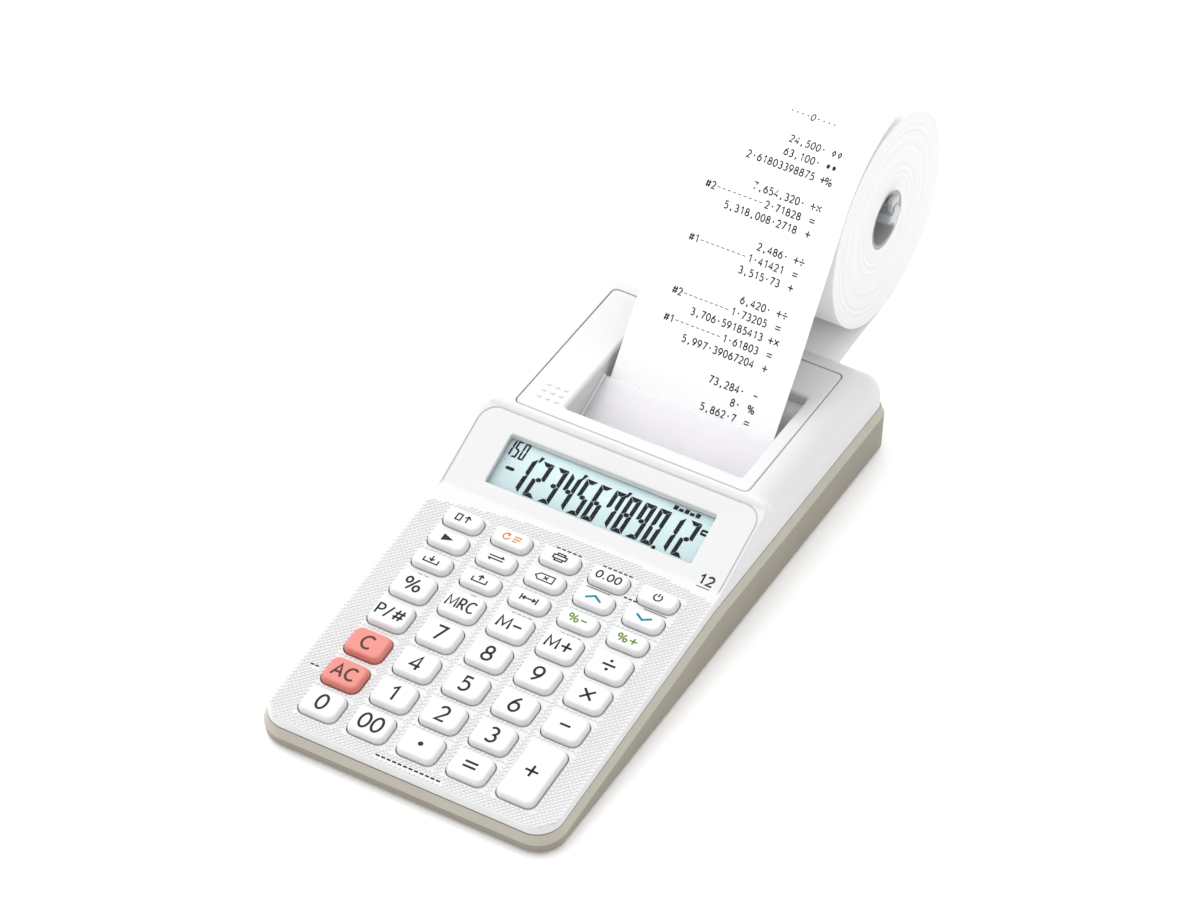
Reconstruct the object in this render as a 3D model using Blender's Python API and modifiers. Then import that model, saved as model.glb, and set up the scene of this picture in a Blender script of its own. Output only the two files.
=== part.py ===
"""Printing desk calculator: every piece as its own solid, in metres, +Z up.

The case is laid out in a design frame whose Y runs back from the case's front edge and whose Z
rises from the case's underside.  One empty carries the whole object, so that the finished model
stands on Z = 0 with the middle of its bounding box at the origin.
"""

import math

import bmesh
import bpy
from mathutils import Matrix, Vector

MM = 0.001

# ---------------------------------------------------------------- driving dimensions
GAP = 0.3 * MM                      # running gap between neighbouring pieces
CASE_WIDTH = 102.0 * MM
CASE_LENGTH = 209.0 * MM
CASE_FLOOR = 2.0 * MM
CASE_WALL = 2.0 * MM
FRONT_CORNER_R = 9.5 * MM
REAR_CORNER_R = 4.0 * MM
FOOT_HEIGHT = 1.0 * MM
FOOT_R = 5.0 * MM

KEY_SLOPE = math.radians(6.31)      # the keyboard leans forward by this angle
SURFACE_Z0 = 9.1 * MM               # keyboard surface carried forward to Y = 0
PARTING_Z0 = 6.7 * MM               # line where the white top meets the beige bottom, at Y = 0
PARTING_TOP_Z = 17.5 * MM           # the same line along the printer half
TOP_MARGIN = 1.3 * MM               # how far the white top stands inside the beige rim
TOP_WALL = 1.8 * MM
PANEL_SLOPE = math.atan(0.42)       # the display panel is steeper than the keyboard
PANEL_REF = (108.4 * MM, 22.5 * MM)
PANEL_END_Y = 130.6 * MM
ROOF_Z = 33.2 * MM
ROOF_WALL = 3.2 * MM
REAR_ARC_R = 11.0 * MM
TOP_REAR_Y = 206.8 * MM

KEY_PITCH_X = 16.92 * MM
KEY_MID_X = 0.26 * MM
KEY_WIDTH = 12.9 * MM
KEY_LENGTH = 10.2 * MM
SMALL_KEY_LENGTH = 6.8 * MM
KEY_ROW_Y = [value * MM for value in (92.3, 83.3, 74.0, 63.0, 50.5, 37.5, 24.7, 12.1)]
KEY_PROUD = 1.9 * MM
KEY_TRAVEL = 1.3 * MM
KEY_CORNER_R = 2.6 * MM
KEY_FLANGE = 0.8 * MM
FLANGE_THICK = 0.7 * MM
KEY_HOLE_GAP = 0.35 * MM
KEYS = [
    ["feed_key", "reprint_key", "print_mode_key", "decimal_key", "off_key"],
    ["backspace_key", "exchange_key", "correct_key", "up_key", "down_key"],
    ["cost_key", "sell_key", "margin_key", "tax_minus_key", "tax_plus_key"],
    ["percent_key", "memory_recall_key", "memory_minus_key", "memory_plus_key", "divide_key"],
    ["paper_mark_key", "key_7", "key_8", "key_9", "multiply_key"],
    ["clear_key", "key_4", "key_5", "key_6", "minus_key"],
    ["all_clear_key", "key_1", "key_2", "key_3", None],
    ["key_0", "key_00", "point_key", "equals_key", None],
]

WINDOW_WIDTH = 72.0 * MM
WINDOW_LENGTH = 17.9 * MM
WINDOW_MID_Y = 116.7 * MM
WINDOW_THICK = 1.0 * MM
WINDOW_SUNK = 0.5 * MM

COVER_HALF_X = 40.7 * MM
COVER_Y = (134.4 * MM, 196.2 * MM)
COVER_THICK = 1.8 * MM
SLOT_X = (-25.8 * MM, 36.0 * MM)    # paper exit in the cover
SLOT_Y = (139.8 * MM, 181.6 * MM)
SLOT_SKIRT_Z = 25.0 * MM
SKIRT_WALL = 1.2 * MM
APRON_Z = 19.0 * MM
CUTTER_FOOT = (141.6 * MM, 18.3 * MM)
CUTTER_EDGE = (164.1 * MM, 28.6 * MM)
CUTTER_THICK = 1.0 * MM

PAPER_MID_X = 5.0 * MM
PAPER_WIDTH = 57.5 * MM
PAPER_THICK = 0.3 * MM
ROLL_Y = 235.6 * MM
ROLL_Z = 64.3 * MM
ROLL_R = 35.9 * MM
BORE_R = 8.6 * MM

PLATEN_Y = 164.8 * MM
PLATEN_Z = 16.0 * MM
PLATEN_R = 5.5 * MM
DRUM_Y = 154.3 * MM
DRUM_Z = 16.6 * MM
DRUM_R = 3.7 * MM
INK_Y = 152.4 * MM
INK_Z = 10.8 * MM
INK_R = 2.0 * MM
GUIDE_Y = 157.2 * MM
GUIDE_Z = 8.0 * MM
MOTOR_Y = 183.0 * MM
MOTOR_Z = 10.8 * MM
MOTOR_R = 6.1 * MM
WHEEL_TEETH = 22
PINION_TEETH = 13
PLATE_LEFT_X = -27.6 * MM           # inner faces of the printer's side plates
PLATE_RIGHT_X = 37.0 * MM
PLATE_THICK = 1.5 * MM

CELL_R = 7.1 * MM
CELL_LENGTH = 50.5 * MM
CELL_PITCH = 14.7 * MM
CELL_Y = 98.9 * MM
CELL_Z = 9.2 * MM
DOOR_HALF_X = 31.5 * MM
DOOR_Y = (97.5 * MM, 151.0 * MM)
DOOR_THICK = 1.6 * MM

ARM_X = -29.0 * MM
ARM_THICK = 4.0 * MM
ARM_WIDTH = 9.0 * MM
SOCKET_Z = 8.0 * MM
SPINDLE_R = 4.8 * MM
SPINDLE_RISE = 3.4 * MM
JACK_Y = 180.0 * MM
JACK_Z = 8.5 * MM

BAY_WALL_Z = 8.0 * MM
WELL_R = 4.4 * MM
SCREW_PLACES = [(-43 * MM, 14 * MM), (43 * MM, 14 * MM), (-43 * MM, 140 * MM), (43 * MM, 140 * MM)]
FOOT_PLACES = [(-40 * MM, 17 * MM), (40 * MM, 17 * MM), (-40 * MM, 196 * MM), (40 * MM, 196 * MM)]

# ---------------------------------------------------------------- the scene and its collections
for stale in list(bpy.data.objects):
    bpy.data.objects.remove(stale, do_unlink=True)

part_collection = bpy.data.collections.new("desk_calculator")
cutter_collection = bpy.data.collections.new("cutters")
bpy.context.scene.collection.children.link(part_collection)
bpy.context.scene.collection.children.link(cutter_collection)

frame_empty = bpy.data.objects.new("calculator_frame", None)
frame_empty.location = (0.0, -(ROLL_Y + ROLL_R) / 2, FOOT_HEIGHT)
part_collection.objects.link(frame_empty)


# ---------------------------------------------------------------- small tools
def material(name, colour, roughness, metallic=0.0, alpha=1.0):
    """A Principled material, made once and reused by name."""
    found = bpy.data.materials.get(name)
    if found:
        return found
    made = bpy.data.materials.new(name)
    made.use_nodes = True
    shader = made.node_tree.nodes["Principled BSDF"]
    shader.inputs["Base Color"].default_value = (*colour, 1.0)
    shader.inputs["Roughness"].default_value = roughness
    shader.inputs["Metallic"].default_value = metallic
    shader.inputs["Alpha"].default_value = alpha
    return made


WHITE = ("white_plastic", (0.86, 0.86, 0.87), 0.38)
BEIGE = ("beige_plastic", (0.42, 0.39, 0.31), 0.45)
KEY_WHITE = ("key_white", (0.88, 0.88, 0.88), 0.35)
KEY_RED = ("key_salmon", (0.82, 0.28, 0.24), 0.35)
CLEAR = ("clear_plastic", (0.85, 0.92, 0.92), 0.1, 0.0, 0.4)
LCD = ("lcd_glass", (0.62, 0.77, 0.78), 0.25)
LILAC = ("lilac_plastic", (0.80, 0.77, 0.84), 0.15, 0.0, 0.6)
RUBBER = ("silicone_rubber", (0.45, 0.46, 0.48), 0.8)
BOARD = ("circuit_board", (0.10, 0.32, 0.14), 0.5)
STEEL = ("steel", (0.60, 0.61, 0.63), 0.3, 1.0)
BLACK = ("black_plastic", (0.05, 0.05, 0.055), 0.45)
NYLON = ("nylon", (0.82, 0.80, 0.74), 0.5)
INK = ("ink_foam", (0.05, 0.03, 0.08), 0.9)
PAPER = ("paper", (0.93, 0.93, 0.93), 0.9)
HOLDER = ("grey_plastic", (0.62, 0.63, 0.65), 0.3)
CELL = ("battery_sleeve", (0.12, 0.20, 0.34), 0.35)


def place(obj, location=(0, 0, 0), finish=None, cutter=False):
    """Link an object under the calculator's frame, as a part or as a cutter."""
    if cutter:
        cutter_collection.objects.link(obj)
        obj.hide_render = True
        obj.display_type = "WIRE"
    else:
        part_collection.objects.link(obj)
    obj.parent = frame_empty
    obj.location = location
    if finish:
        obj.data.materials.clear()
        obj.data.materials.append(material(*finish))
    return obj


def smooth_round(mesh, degrees=40):
    """Smooth shading that keeps the real corners sharp."""
    mesh.shade_smooth()
    mesh.set_sharp_from_angle(angle=math.radians(degrees))


def mesh_object(name, bm):
    """Turn a bmesh into a new object and free the bmesh."""
    mesh = bpy.data.meshes.new(name)
    bm.to_mesh(mesh)
    bm.free()
    smooth_round(mesh)
    return bpy.data.objects.new(name, mesh)


def block(name, low, high, round_r=0.0, segments=3, **options):
    """A box between two corners, its upright edges rounded when round_r is given."""
    low = Vector(low)
    high = Vector(high)
    size = high - low
    bm = bmesh.new()
    bmesh.ops.create_cube(bm, size=1.0)
    bmesh.ops.scale(bm, vec=size, verts=bm.verts)
    if round_r:
        upright = [e for e in bm.edges if abs((e.verts[0].co - e.verts[1].co).z) > size.z / 2]
        bmesh.ops.bevel(bm, geom=upright, offset=round_r, segments=segments, profile=0.5, affect="EDGES")
    obj = mesh_object(name, bm)
    obj.data.transform(Matrix.Translation((low + high) / 2))
    return place(obj, **options)


def rod(name, radius, start, end, segments=24, **options):
    """A capped cylinder between two points; its origin is the start point."""
    start = Vector(start)
    along = Vector(end) - start
    bm = bmesh.new()
    bmesh.ops.create_cone(bm, cap_ends=True, segments=segments, radius1=radius, radius2=radius,
                          depth=along.length)
    turn = along.to_track_quat("Z", "Y").to_matrix().to_4x4()
    bmesh.ops.transform(bm, matrix=turn @ Matrix.Translation((0, 0, along.length / 2)), verts=bm.verts)
    return place(mesh_object(name, bm), location=start, **options)


def turned(name, profile, x_mid, y, z, steps=48, closed=False, **options):
    """A solid turned about the X axis from (radius, x) points listed from +X to -X."""
    bm = bmesh.new()
    corners = [bm.verts.new((radius, 0, along)) for radius, along in profile]
    if closed:
        corners.append(corners[0])
    for first, second in zip(corners, corners[1:]):
        bm.edges.new((first, second))
    obj = mesh_object(name, bm)
    screw = obj.modifiers.new("turn", "SCREW")
    screw.axis = "Z"
    screw.steps = steps
    screw.render_steps = steps
    screw.use_merge_vertices = True
    screw.merge_threshold = 0.00001
    place(obj, location=(x_mid, y, z), **options)
    obj.rotation_euler = (0, math.pi / 2, 0)
    return obj


AXES = {
    "X": Matrix(((0, 0, 1, 0), (1, 0, 0, 0), (0, 1, 0, 0), (0, 0, 0, 1))),
    "Y": Matrix(((1, 0, 0, 0), (0, 0, -1, 0), (0, 1, 0, 0), (0, 0, 0, 1))),
    "Z": Matrix.Identity(4),
}


def plate(name, outline, low, high, axis="Z", **options):
    """A flat outline extruded along X, Y or Z between two heights."""
    curve = bpy.data.curves.new(name, "CURVE")
    curve.dimensions = "2D"
    curve.fill_mode = "BOTH"
    curve.extrude = abs(high - low) / 2
    spline = curve.splines.new("POLY")
    spline.points.add(len(outline) - 1)
    for point, (u, v) in zip(spline.points, outline):
        point.co = (u, v, 0, 1)
    spline.use_cyclic_u = True
    guide = bpy.data.objects.new(name + "_outline", curve)
    cutter_collection.objects.link(guide)
    bpy.context.view_layer.update()
    evaluated = guide.evaluated_get(bpy.context.evaluated_depsgraph_get())
    mesh = bpy.data.meshes.new_from_object(evaluated)
    bpy.data.objects.remove(guide, do_unlink=True)
    bm = bmesh.new()
    bm.from_mesh(mesh)
    bmesh.ops.remove_doubles(bm, verts=bm.verts, dist=0.000001)
    bmesh.ops.dissolve_limit(bm, angle_limit=0.001, verts=bm.verts, edges=bm.edges)
    middle = (low + high) / 2 * (-1 if axis == "Y" else 1)
    bmesh.ops.transform(bm, matrix=AXES[axis] @ Matrix.Translation((0, 0, middle)), verts=bm.verts)
    bmesh.ops.recalc_face_normals(bm, faces=bm.faces)
    bpy.data.meshes.remove(mesh)
    return place(mesh_object(name, bm), **options)


def arc(middle, radius, first, last, steps):
    """Points on a circle from one angle to another, in degrees."""
    turns = [math.radians(first + (last - first) * i / steps) for i in range(steps + 1)]
    return [(middle[0] + radius * math.cos(t), middle[1] + radius * math.sin(t)) for t in turns]


def plan_outline(half_width, front, rear, front_r, rear_r, steps=6):
    """The case seen from above: large front corners, small rear corners."""
    outline = arc((half_width - rear_r, rear - rear_r), rear_r, 0, 90, steps)
    outline += arc((-half_width + rear_r, rear - rear_r), rear_r, 90, 180, steps)
    outline += arc((-half_width + front_r, front + front_r), front_r, 180, 270, steps)
    outline += arc((half_width - front_r, front + front_r), front_r, 270, 360, steps)
    return outline


def inset(outline, distance):
    """Move every side of a counter-clockwise outline inwards by the same distance."""
    moved = []
    count = len(outline)
    for i in range(count):
        before = Vector(outline[i - 1])
        here = Vector(outline[i])
        after = Vector(outline[(i + 1) % count])
        first = (here - before).normalized()
        second = (after - here).normalized()
        normal_a = Vector((-first.y, first.x))
        normal_b = Vector((-second.y, second.x))
        mitre = (normal_a + normal_b).normalized()
        reach = distance / max(mitre.dot(normal_a), 0.2)
        moved.append(tuple(here + mitre * reach))
    return moved


def combine(target, tool, operation):
    """Add an exact Boolean that cuts, joins or trims the target with the tool."""
    step = target.modifiers.new(operation.lower() + "_" + tool.name, "BOOLEAN")
    step.operation = operation
    step.solver = "EXACT"
    step.object = tool
    return target


def merged(name, objects, **options):
    """One tool made of several separate bodies, so one Boolean handles them all."""
    bm = bmesh.new()
    for obj in objects:
        start = len(bm.verts)
        bm.from_mesh(obj.data)
        bm.verts.ensure_lookup_table()
        bmesh.ops.transform(bm, matrix=obj.matrix_basis, verts=bm.verts[start:])
        bpy.data.objects.remove(obj, do_unlink=True)
    return place(mesh_object(name, bm), **options)


def surface_z(y):
    """Height of the keyboard's surface."""
    return SURFACE_Z0 + math.tan(KEY_SLOPE) * y


def panel_z(y):
    """Height of the display panel's surface."""
    return PANEL_REF[1] + math.tan(PANEL_SLOPE) * (y - PANEL_REF[0])


def parting_z(y):
    """Height of the line between the white top and the beige bottom."""
    return min(PARTING_Z0 + math.tan(KEY_SLOPE) * y, PARTING_TOP_Z)


# ---------------------------------------------------------------- lower case
def make_lower_case():
    """Beige tray with battery opening, screw wells, feet, jack hole and arm socket."""
    half = CASE_WIDTH / 2
    level_y = (PARTING_TOP_Z - PARTING_Z0) / math.tan(KEY_SLOPE)
    outline = plan_outline(half, 0, CASE_LENGTH, FRONT_CORNER_R, REAR_CORNER_R)
    case = plate("lower_case", outline, 0, 20 * MM, finish=BEIGE)
    beyond = 10 * MM
    side = [(-beyond, -beyond), (CASE_LENGTH + beyond, -beyond),
            (CASE_LENGTH + beyond, PARTING_TOP_Z - GAP),
            (level_y, PARTING_TOP_Z - GAP), (-beyond, PARTING_Z0 - GAP - math.tan(KEY_SLOPE) * beyond)]
    trim = plate("lower_trim", side, -half - beyond, half + beyond, "X", cutter=True)
    combine(case, trim, "INTERSECT")
    inside = plate("lower_inside", inset(outline, CASE_WALL), CASE_FLOOR, 30 * MM, cutter=True)
    combine(case, inside, "DIFFERENCE")

    bay_low = (-DOOR_HALF_X - 1.8 * MM, DOOR_Y[0] - 1.8 * MM, CASE_FLOOR - 0.5 * MM)
    bay_high = (DOOR_HALF_X + 1.8 * MM, DOOR_Y[1] + 1.2 * MM, BAY_WALL_Z)
    bay = block("battery_bay", bay_low, bay_high, cutter=True)
    combine(case, bay, "UNION")
    wells = [rod(f"well_{i}", WELL_R, (x, y, 0.5 * MM), (x, y, 6 * MM), cutter=True)
             for i, (x, y) in enumerate(SCREW_PLACES)]
    feet = [rod(f"foot_{i}", FOOT_R, (x, y, -FOOT_HEIGHT), (x, y, 0.5 * MM), cutter=True)
            for i, (x, y) in enumerate(FOOT_PLACES)]
    combine(case, merged("wells_and_feet", wells + feet, cutter=True), "UNION")

    hollow = block("bay_hollow", (-DOOR_HALF_X - GAP, DOOR_Y[0] - GAP, -5 * MM),
                   (DOOR_HALF_X + GAP, DOOR_Y[1] + GAP, 15 * MM), cutter=True)
    bores = [rod(f"bore_{i}", 3.2 * MM, (x, y, -5 * MM), (x, y, 3.5 * MM), cutter=True)
             for i, (x, y) in enumerate(SCREW_PLACES)]
    jack_hole = rod("jack_hole", 4.2 * MM, (-half - 5 * MM, JACK_Y, JACK_Z),
                    (-half + 5 * MM, JACK_Y, JACK_Z),
                    cutter=True)
    socket = block("arm_socket", (ARM_X - ARM_THICK / 2 - GAP, CASE_LENGTH - 5 * MM,
                                  SOCKET_Z - 3 * MM - GAP),
                   (ARM_X + ARM_THICK / 2 + GAP, CASE_LENGTH + 5 * MM, SOCKET_Z + 3 * MM + GAP),
                   cutter=True)
    combine(case, merged("lower_openings", [hollow, jack_hole, socket] + bores, cutter=True), "DIFFERENCE")


# ---------------------------------------------------------------- top case
def top_side_outline():
    """Side view of the white top: front lip, keyboard, display panel, flat roof, round back."""
    kink_y = ((SURFACE_Z0 - PANEL_REF[1] + math.tan(PANEL_SLOPE) * PANEL_REF[0])
              / (math.tan(PANEL_SLOPE) - math.tan(KEY_SLOPE)))
    level_y = (PARTING_TOP_Z - PARTING_Z0) / math.tan(KEY_SLOPE)
    outline = [(level_y, PARTING_TOP_Z), (TOP_REAR_Y + 0.4 * MM, PARTING_TOP_Z)]
    outline += arc((TOP_REAR_Y - REAR_ARC_R, ROOF_Z - REAR_ARC_R), REAR_ARC_R, 0, 90, 6)
    outline += [(PANEL_END_Y + 2.4 * MM, ROOF_Z), (PANEL_END_Y, panel_z(PANEL_END_Y)),
                (kink_y, surface_z(kink_y)),
                (TOP_MARGIN + 1.2 * MM, surface_z(0)), (TOP_MARGIN, surface_z(0) - 0.9 * MM),
                (TOP_MARGIN, parting_z(TOP_MARGIN))]
    return outline


def make_top_case():
    """White shell with key holes, display opening, printer opening and paper inlet."""
    half = CASE_WIDTH / 2 - TOP_MARGIN
    side = top_side_outline()
    case = plate("top_case", side, -half, half, "X", finish=WHITE)
    outline = plan_outline(half, TOP_MARGIN - GAP, TOP_REAR_Y + 1 * MM, FRONT_CORNER_R - TOP_MARGIN,
                           REAR_CORNER_R - TOP_MARGIN)
    combine(case, plate("top_plan", outline, 0, 50 * MM, cutter=True), "INTERSECT")
    shoulder = [(half + 5 * MM, -5 * MM), (half + 5 * MM, 26 * MM), (half, 28.5 * MM),
                (half - 0.6 * MM, 30.4 * MM),
                (half - 1.9 * MM, 31.7 * MM), (half - 4.7 * MM, 32.6 * MM), (half - 8.7 * MM, ROOF_Z),
                (half - 8.7 * MM, 40 * MM)]
    shoulder += [(-x, z) for x, z in reversed(shoulder)]
    combine(case, plate("shoulders", shoulder, -10 * MM, 230 * MM, "Y", cutter=True), "INTERSECT")

    inner = inset(side, TOP_WALL)
    inner = [(y, z - 5 * MM) if i in (0, 1, len(inner) - 1) else (y, z) for i, (y, z) in enumerate(inner)]
    thick_roof = ROOF_Z - ROOF_WALL
    inner = [(y, min(z, thick_roof)) for y, z in inner]
    cavity = plate("top_cavity", inner, -half + TOP_WALL, half - TOP_WALL, "X", cutter=True)
    combine(cavity, plate("cavity_plan", inset(outline, TOP_WALL), 0, 50 * MM, cutter=True), "INTERSECT")
    combine(case, cavity, "DIFFERENCE")

    holes = []
    for name, x, y, length in key_places():
        grow = KEY_HOLE_GAP
        low = (-KEY_WIDTH / 2 - grow, -length / 2 - grow, -4 * MM)
        high = (KEY_WIDTH / 2 + grow, length / 2 + grow, 4 * MM)
        hole = block("hole_" + name, low, high, KEY_CORNER_R + grow, 2, location=(x, y, surface_z(y)),
                     cutter=True)
        hole.rotation_euler = (KEY_SLOPE, 0, 0)
        hole.matrix_basis = Matrix.Translation(hole.location) @ hole.rotation_euler.to_matrix().to_4x4()
        holes.append(hole)
    combine(case, merged("key_holes", holes, cutter=True), "DIFFERENCE")

    window = block("window_hole", (-WINDOW_WIDTH / 2, -WINDOW_LENGTH / 2, -6 * MM),
                   (WINDOW_WIDTH / 2, WINDOW_LENGTH / 2, 6 * MM),
                   location=(0, WINDOW_MID_Y, panel_z(WINDOW_MID_Y)),
                   cutter=True)
    window.matrix_basis = panel_matrix(0)
    cover_seat = block("cover_seat", (-COVER_HALF_X - GAP, COVER_Y[0] - GAP, ROOF_Z - COVER_THICK - GAP),
                       (COVER_HALF_X + GAP, COVER_Y[1] + GAP, 40 * MM), cutter=True)
    printer_opening = block("printer_opening", (-COVER_HALF_X + 2 * MM, COVER_Y[0] + 1.5 * MM, 20 * MM),
                            (COVER_HALF_X - 1 * MM, COVER_Y[1] - 4 * MM, 32 * MM), cutter=True)
    inlet = block("paper_inlet", (PAPER_MID_X - PAPER_WIDTH / 2 - 1.5 * MM, 192 * MM, 24.2 * MM),
                  (PAPER_MID_X + PAPER_WIDTH / 2 + 1.5 * MM, 215 * MM, 28.4 * MM), cutter=True)
    combine(case, merged("window_and_inlet", [window, inlet], cutter=True), "DIFFERENCE")
    combine(case, cover_seat, "DIFFERENCE")
    combine(case, printer_opening, "DIFFERENCE")


def panel_matrix(depth):
    """Placement on the display panel's surface, sunk along its normal by depth."""
    normal = Vector((0, -math.sin(PANEL_SLOPE), math.cos(PANEL_SLOPE)))
    spot = Vector((0, WINDOW_MID_Y, panel_z(WINDOW_MID_Y))) - normal * depth
    return Matrix.Translation(spot) @ Matrix.Rotation(PANEL_SLOPE, 4, "X")


# ---------------------------------------------------------------- keys
def key_places():
    """Name, X, Y and length of every key."""
    places = []
    for row, names in enumerate(KEYS):
        for column, name in enumerate(names):
            if name:
                x = KEY_MID_X + (column - 2) * KEY_PITCH_X
                places.append((name, x, KEY_ROW_Y[row], SMALL_KEY_LENGTH if row < 3 else KEY_LENGTH))
    tall = KEY_ROW_Y[6] - KEY_ROW_Y[7]
    places.append(("plus_key", KEY_MID_X + 2 * KEY_PITCH_X, KEY_ROW_Y[7] + tall / 2, KEY_LENGTH + tall))
    return places


def key_mesh(length, salmon):
    """A cap on a wider flange that stops it from leaving its hole; the origin is on the case's surface."""
    bm = bmesh.new()
    bmesh.ops.create_cube(bm, size=1.0)
    size = Vector((KEY_WIDTH + 2 * KEY_FLANGE, length + 2 * KEY_FLANGE, FLANGE_THICK))
    bmesh.ops.scale(bm, vec=size, verts=bm.verts)
    bmesh.ops.translate(bm, vec=(0, 0, -TOP_WALL - GAP - FLANGE_THICK / 2), verts=bm.verts)
    upright = [e for e in bm.edges if abs((e.verts[0].co - e.verts[1].co).z) > FLANGE_THICK / 2]
    bmesh.ops.bevel(bm, geom=upright, offset=KEY_CORNER_R + KEY_FLANGE, segments=2, profile=0.5,
                    affect="EDGES")
    bm.faces.ensure_lookup_table()
    top = max(bm.faces, key=lambda f: f.calc_center_median().z)
    bmesh.ops.inset_region(bm, faces=[top], thickness=KEY_FLANGE, use_even_offset=True)
    raised = bmesh.ops.extrude_discrete_faces(bm, faces=[top])["faces"][0]
    bmesh.ops.translate(bm, vec=(0, 0, TOP_WALL + GAP + KEY_PROUD), verts=raised.verts)
    bmesh.ops.bevel(bm, geom=list(raised.edges), offset=0.5 * MM, segments=1, affect="EDGES")
    mesh = bpy.data.meshes.new("key")
    bm.to_mesh(mesh)
    bm.free()
    smooth_round(mesh, 30)
    mesh.materials.append(material(*(KEY_RED if salmon else KEY_WHITE)))
    return mesh


def make_keys():
    """Every key is its own object; keys of one size and colour share a mesh."""
    meshes = {}
    for name, x, y, length in key_places():
        salmon = name in ("clear_key", "all_clear_key")
        kind = (round(length / MM, 1), salmon)
        if kind not in meshes:
            meshes[kind] = key_mesh(length, salmon)
        key = place(bpy.data.objects.new(name, meshes[kind]), location=(x, y, surface_z(y)))
        key.rotation_euler = (KEY_SLOPE, 0, 0)


# ---------------------------------------------------------------- what lies under the keys
def key_plane_slab(name, half_x, y_low, y_high, depth, thick, finish):
    """A flat sheet parallel to the keyboard, its upper face at the given depth below the surface."""
    middle = (y_low + y_high) / 2
    half_y = (y_high - y_low) / 2
    slab = block(name, (-half_x, -half_y, -depth - thick), (half_x, half_y, -depth), 2 * MM, 2,
                 location=(0, middle, surface_z(middle)), finish=finish)
    slab.rotation_euler = (KEY_SLOPE, 0, 0)
    return slab


def make_keyboard_parts():
    """Silicone key mat and the circuit board that it lies on."""
    mat_depth = TOP_WALL + GAP + FLANGE_THICK + KEY_TRAVEL + 0.1 * MM
    mat = key_plane_slab("key_mat", 43 * MM, 5.0 * MM, 95.0 * MM, mat_depth, 0.8 * MM, RUBBER)
    board = key_plane_slab("circuit_board", 45 * MM, 4.6 * MM, 95.2 * MM, mat_depth + 0.8 * MM + GAP,
                           1.2 * MM,
                           BOARD)
    chip = block("chip", (-8 * MM, 22 * MM, -8.3 * MM), (8 * MM, 38 * MM, -6.5 * MM), cutter=True,
                 location=board.location)
    chip.rotation_euler = (KEY_SLOPE, 0, 0)
    combine(board, chip, "UNION")
    notches = [rod(f"notch_{i}", WELL_R + GAP, (x, y, 0), (x, y, 14 * MM), 16, cutter=True)
               for i, (x, y) in enumerate(SCREW_PLACES[:2])]
    notch = merged("screw_notches", notches, cutter=True)
    combine(board, notch, "DIFFERENCE")
    combine(mat, notch, "DIFFERENCE")


def make_display():
    """Clear window in the panel's opening and the liquid-crystal panel behind it."""
    inner = Vector((WINDOW_WIDTH / 2 - GAP, WINDOW_LENGTH / 2 - GAP, WINDOW_THICK))
    window = block("display_window", (-inner.x, -inner.y, -inner.z), (inner.x, inner.y, 0), finish=CLEAR)
    window.matrix_basis = panel_matrix(WINDOW_SUNK)
    lcd = block("lcd_panel", (-38.5 * MM, -11 * MM, -2.0 * MM), (38.5 * MM, 11 * MM, 0), finish=LCD)
    lcd.matrix_basis = panel_matrix(TOP_WALL + 2 * GAP)


# ---------------------------------------------------------------- printer cover and paper cutter
def make_cover():
    """Lift-up cover with the paper exit, a skirt round the exit and the clear cutter plate."""
    cover = block("printer_cover", (-COVER_HALF_X, COVER_Y[0] - COVER_Y[1], -COVER_THICK),
                  (COVER_HALF_X, 0, 0), location=(0, COVER_Y[1], ROOF_Z), finish=WHITE)
    skirt = block("exit_skirt", (SLOT_X[0] - SKIRT_WALL, SLOT_Y[0] - SKIRT_WALL, SLOT_SKIRT_Z),
                  (SLOT_X[1] + SKIRT_WALL, SLOT_Y[1] + SKIRT_WALL, ROOF_Z - 0.5 * MM), cutter=True)
    combine(cover, skirt, "UNION")
    apron = block("exit_apron", (SLOT_X[0] - SKIRT_WALL, SLOT_Y[0] - SKIRT_WALL, APRON_Z),
                  (SLOT_X[1] + SKIRT_WALL, SLOT_Y[0], SLOT_SKIRT_Z + 1 * MM), cutter=True)
    combine(cover, apron, "UNION")
    hole = block("exit_hole", (SLOT_X[0], SLOT_Y[0], 10 * MM), (SLOT_X[1], SLOT_Y[1], 40 * MM), cutter=True)
    combine(cover, hole, "DIFFERENCE")

    foot = Vector(CUTTER_FOOT)
    edge = Vector(CUTTER_EDGE)
    down = Vector((edge.y - foot.y, foot.x - edge.x)).normalized() * CUTTER_THICK
    blade = [tuple(foot + down), tuple(edge + down * 0.4), tuple(edge), tuple(foot)]
    plate("paper_cutter", blade, SLOT_X[0] + GAP, SLOT_X[1] - GAP, "X", finish=LILAC)


# ---------------------------------------------------------------- printer
def gear_outline(pitch_r, teeth, tooth_at):
    """A straight-flanked gear with one tooth pointing at the given angle; slim teeth leave backlash."""
    outline = []
    for i in range(teeth):
        for share, proud in ((-0.30, -1.1 * MM), (-0.12, 0.8 * MM), (0.12, 0.8 * MM), (0.30, -1.1 * MM)):
            turn = tooth_at + 2 * math.pi * (i + share) / teeth
            outline.append(((pitch_r + proud) * math.cos(turn), (pitch_r + proud) * math.sin(turn)))
    return outline


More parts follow.
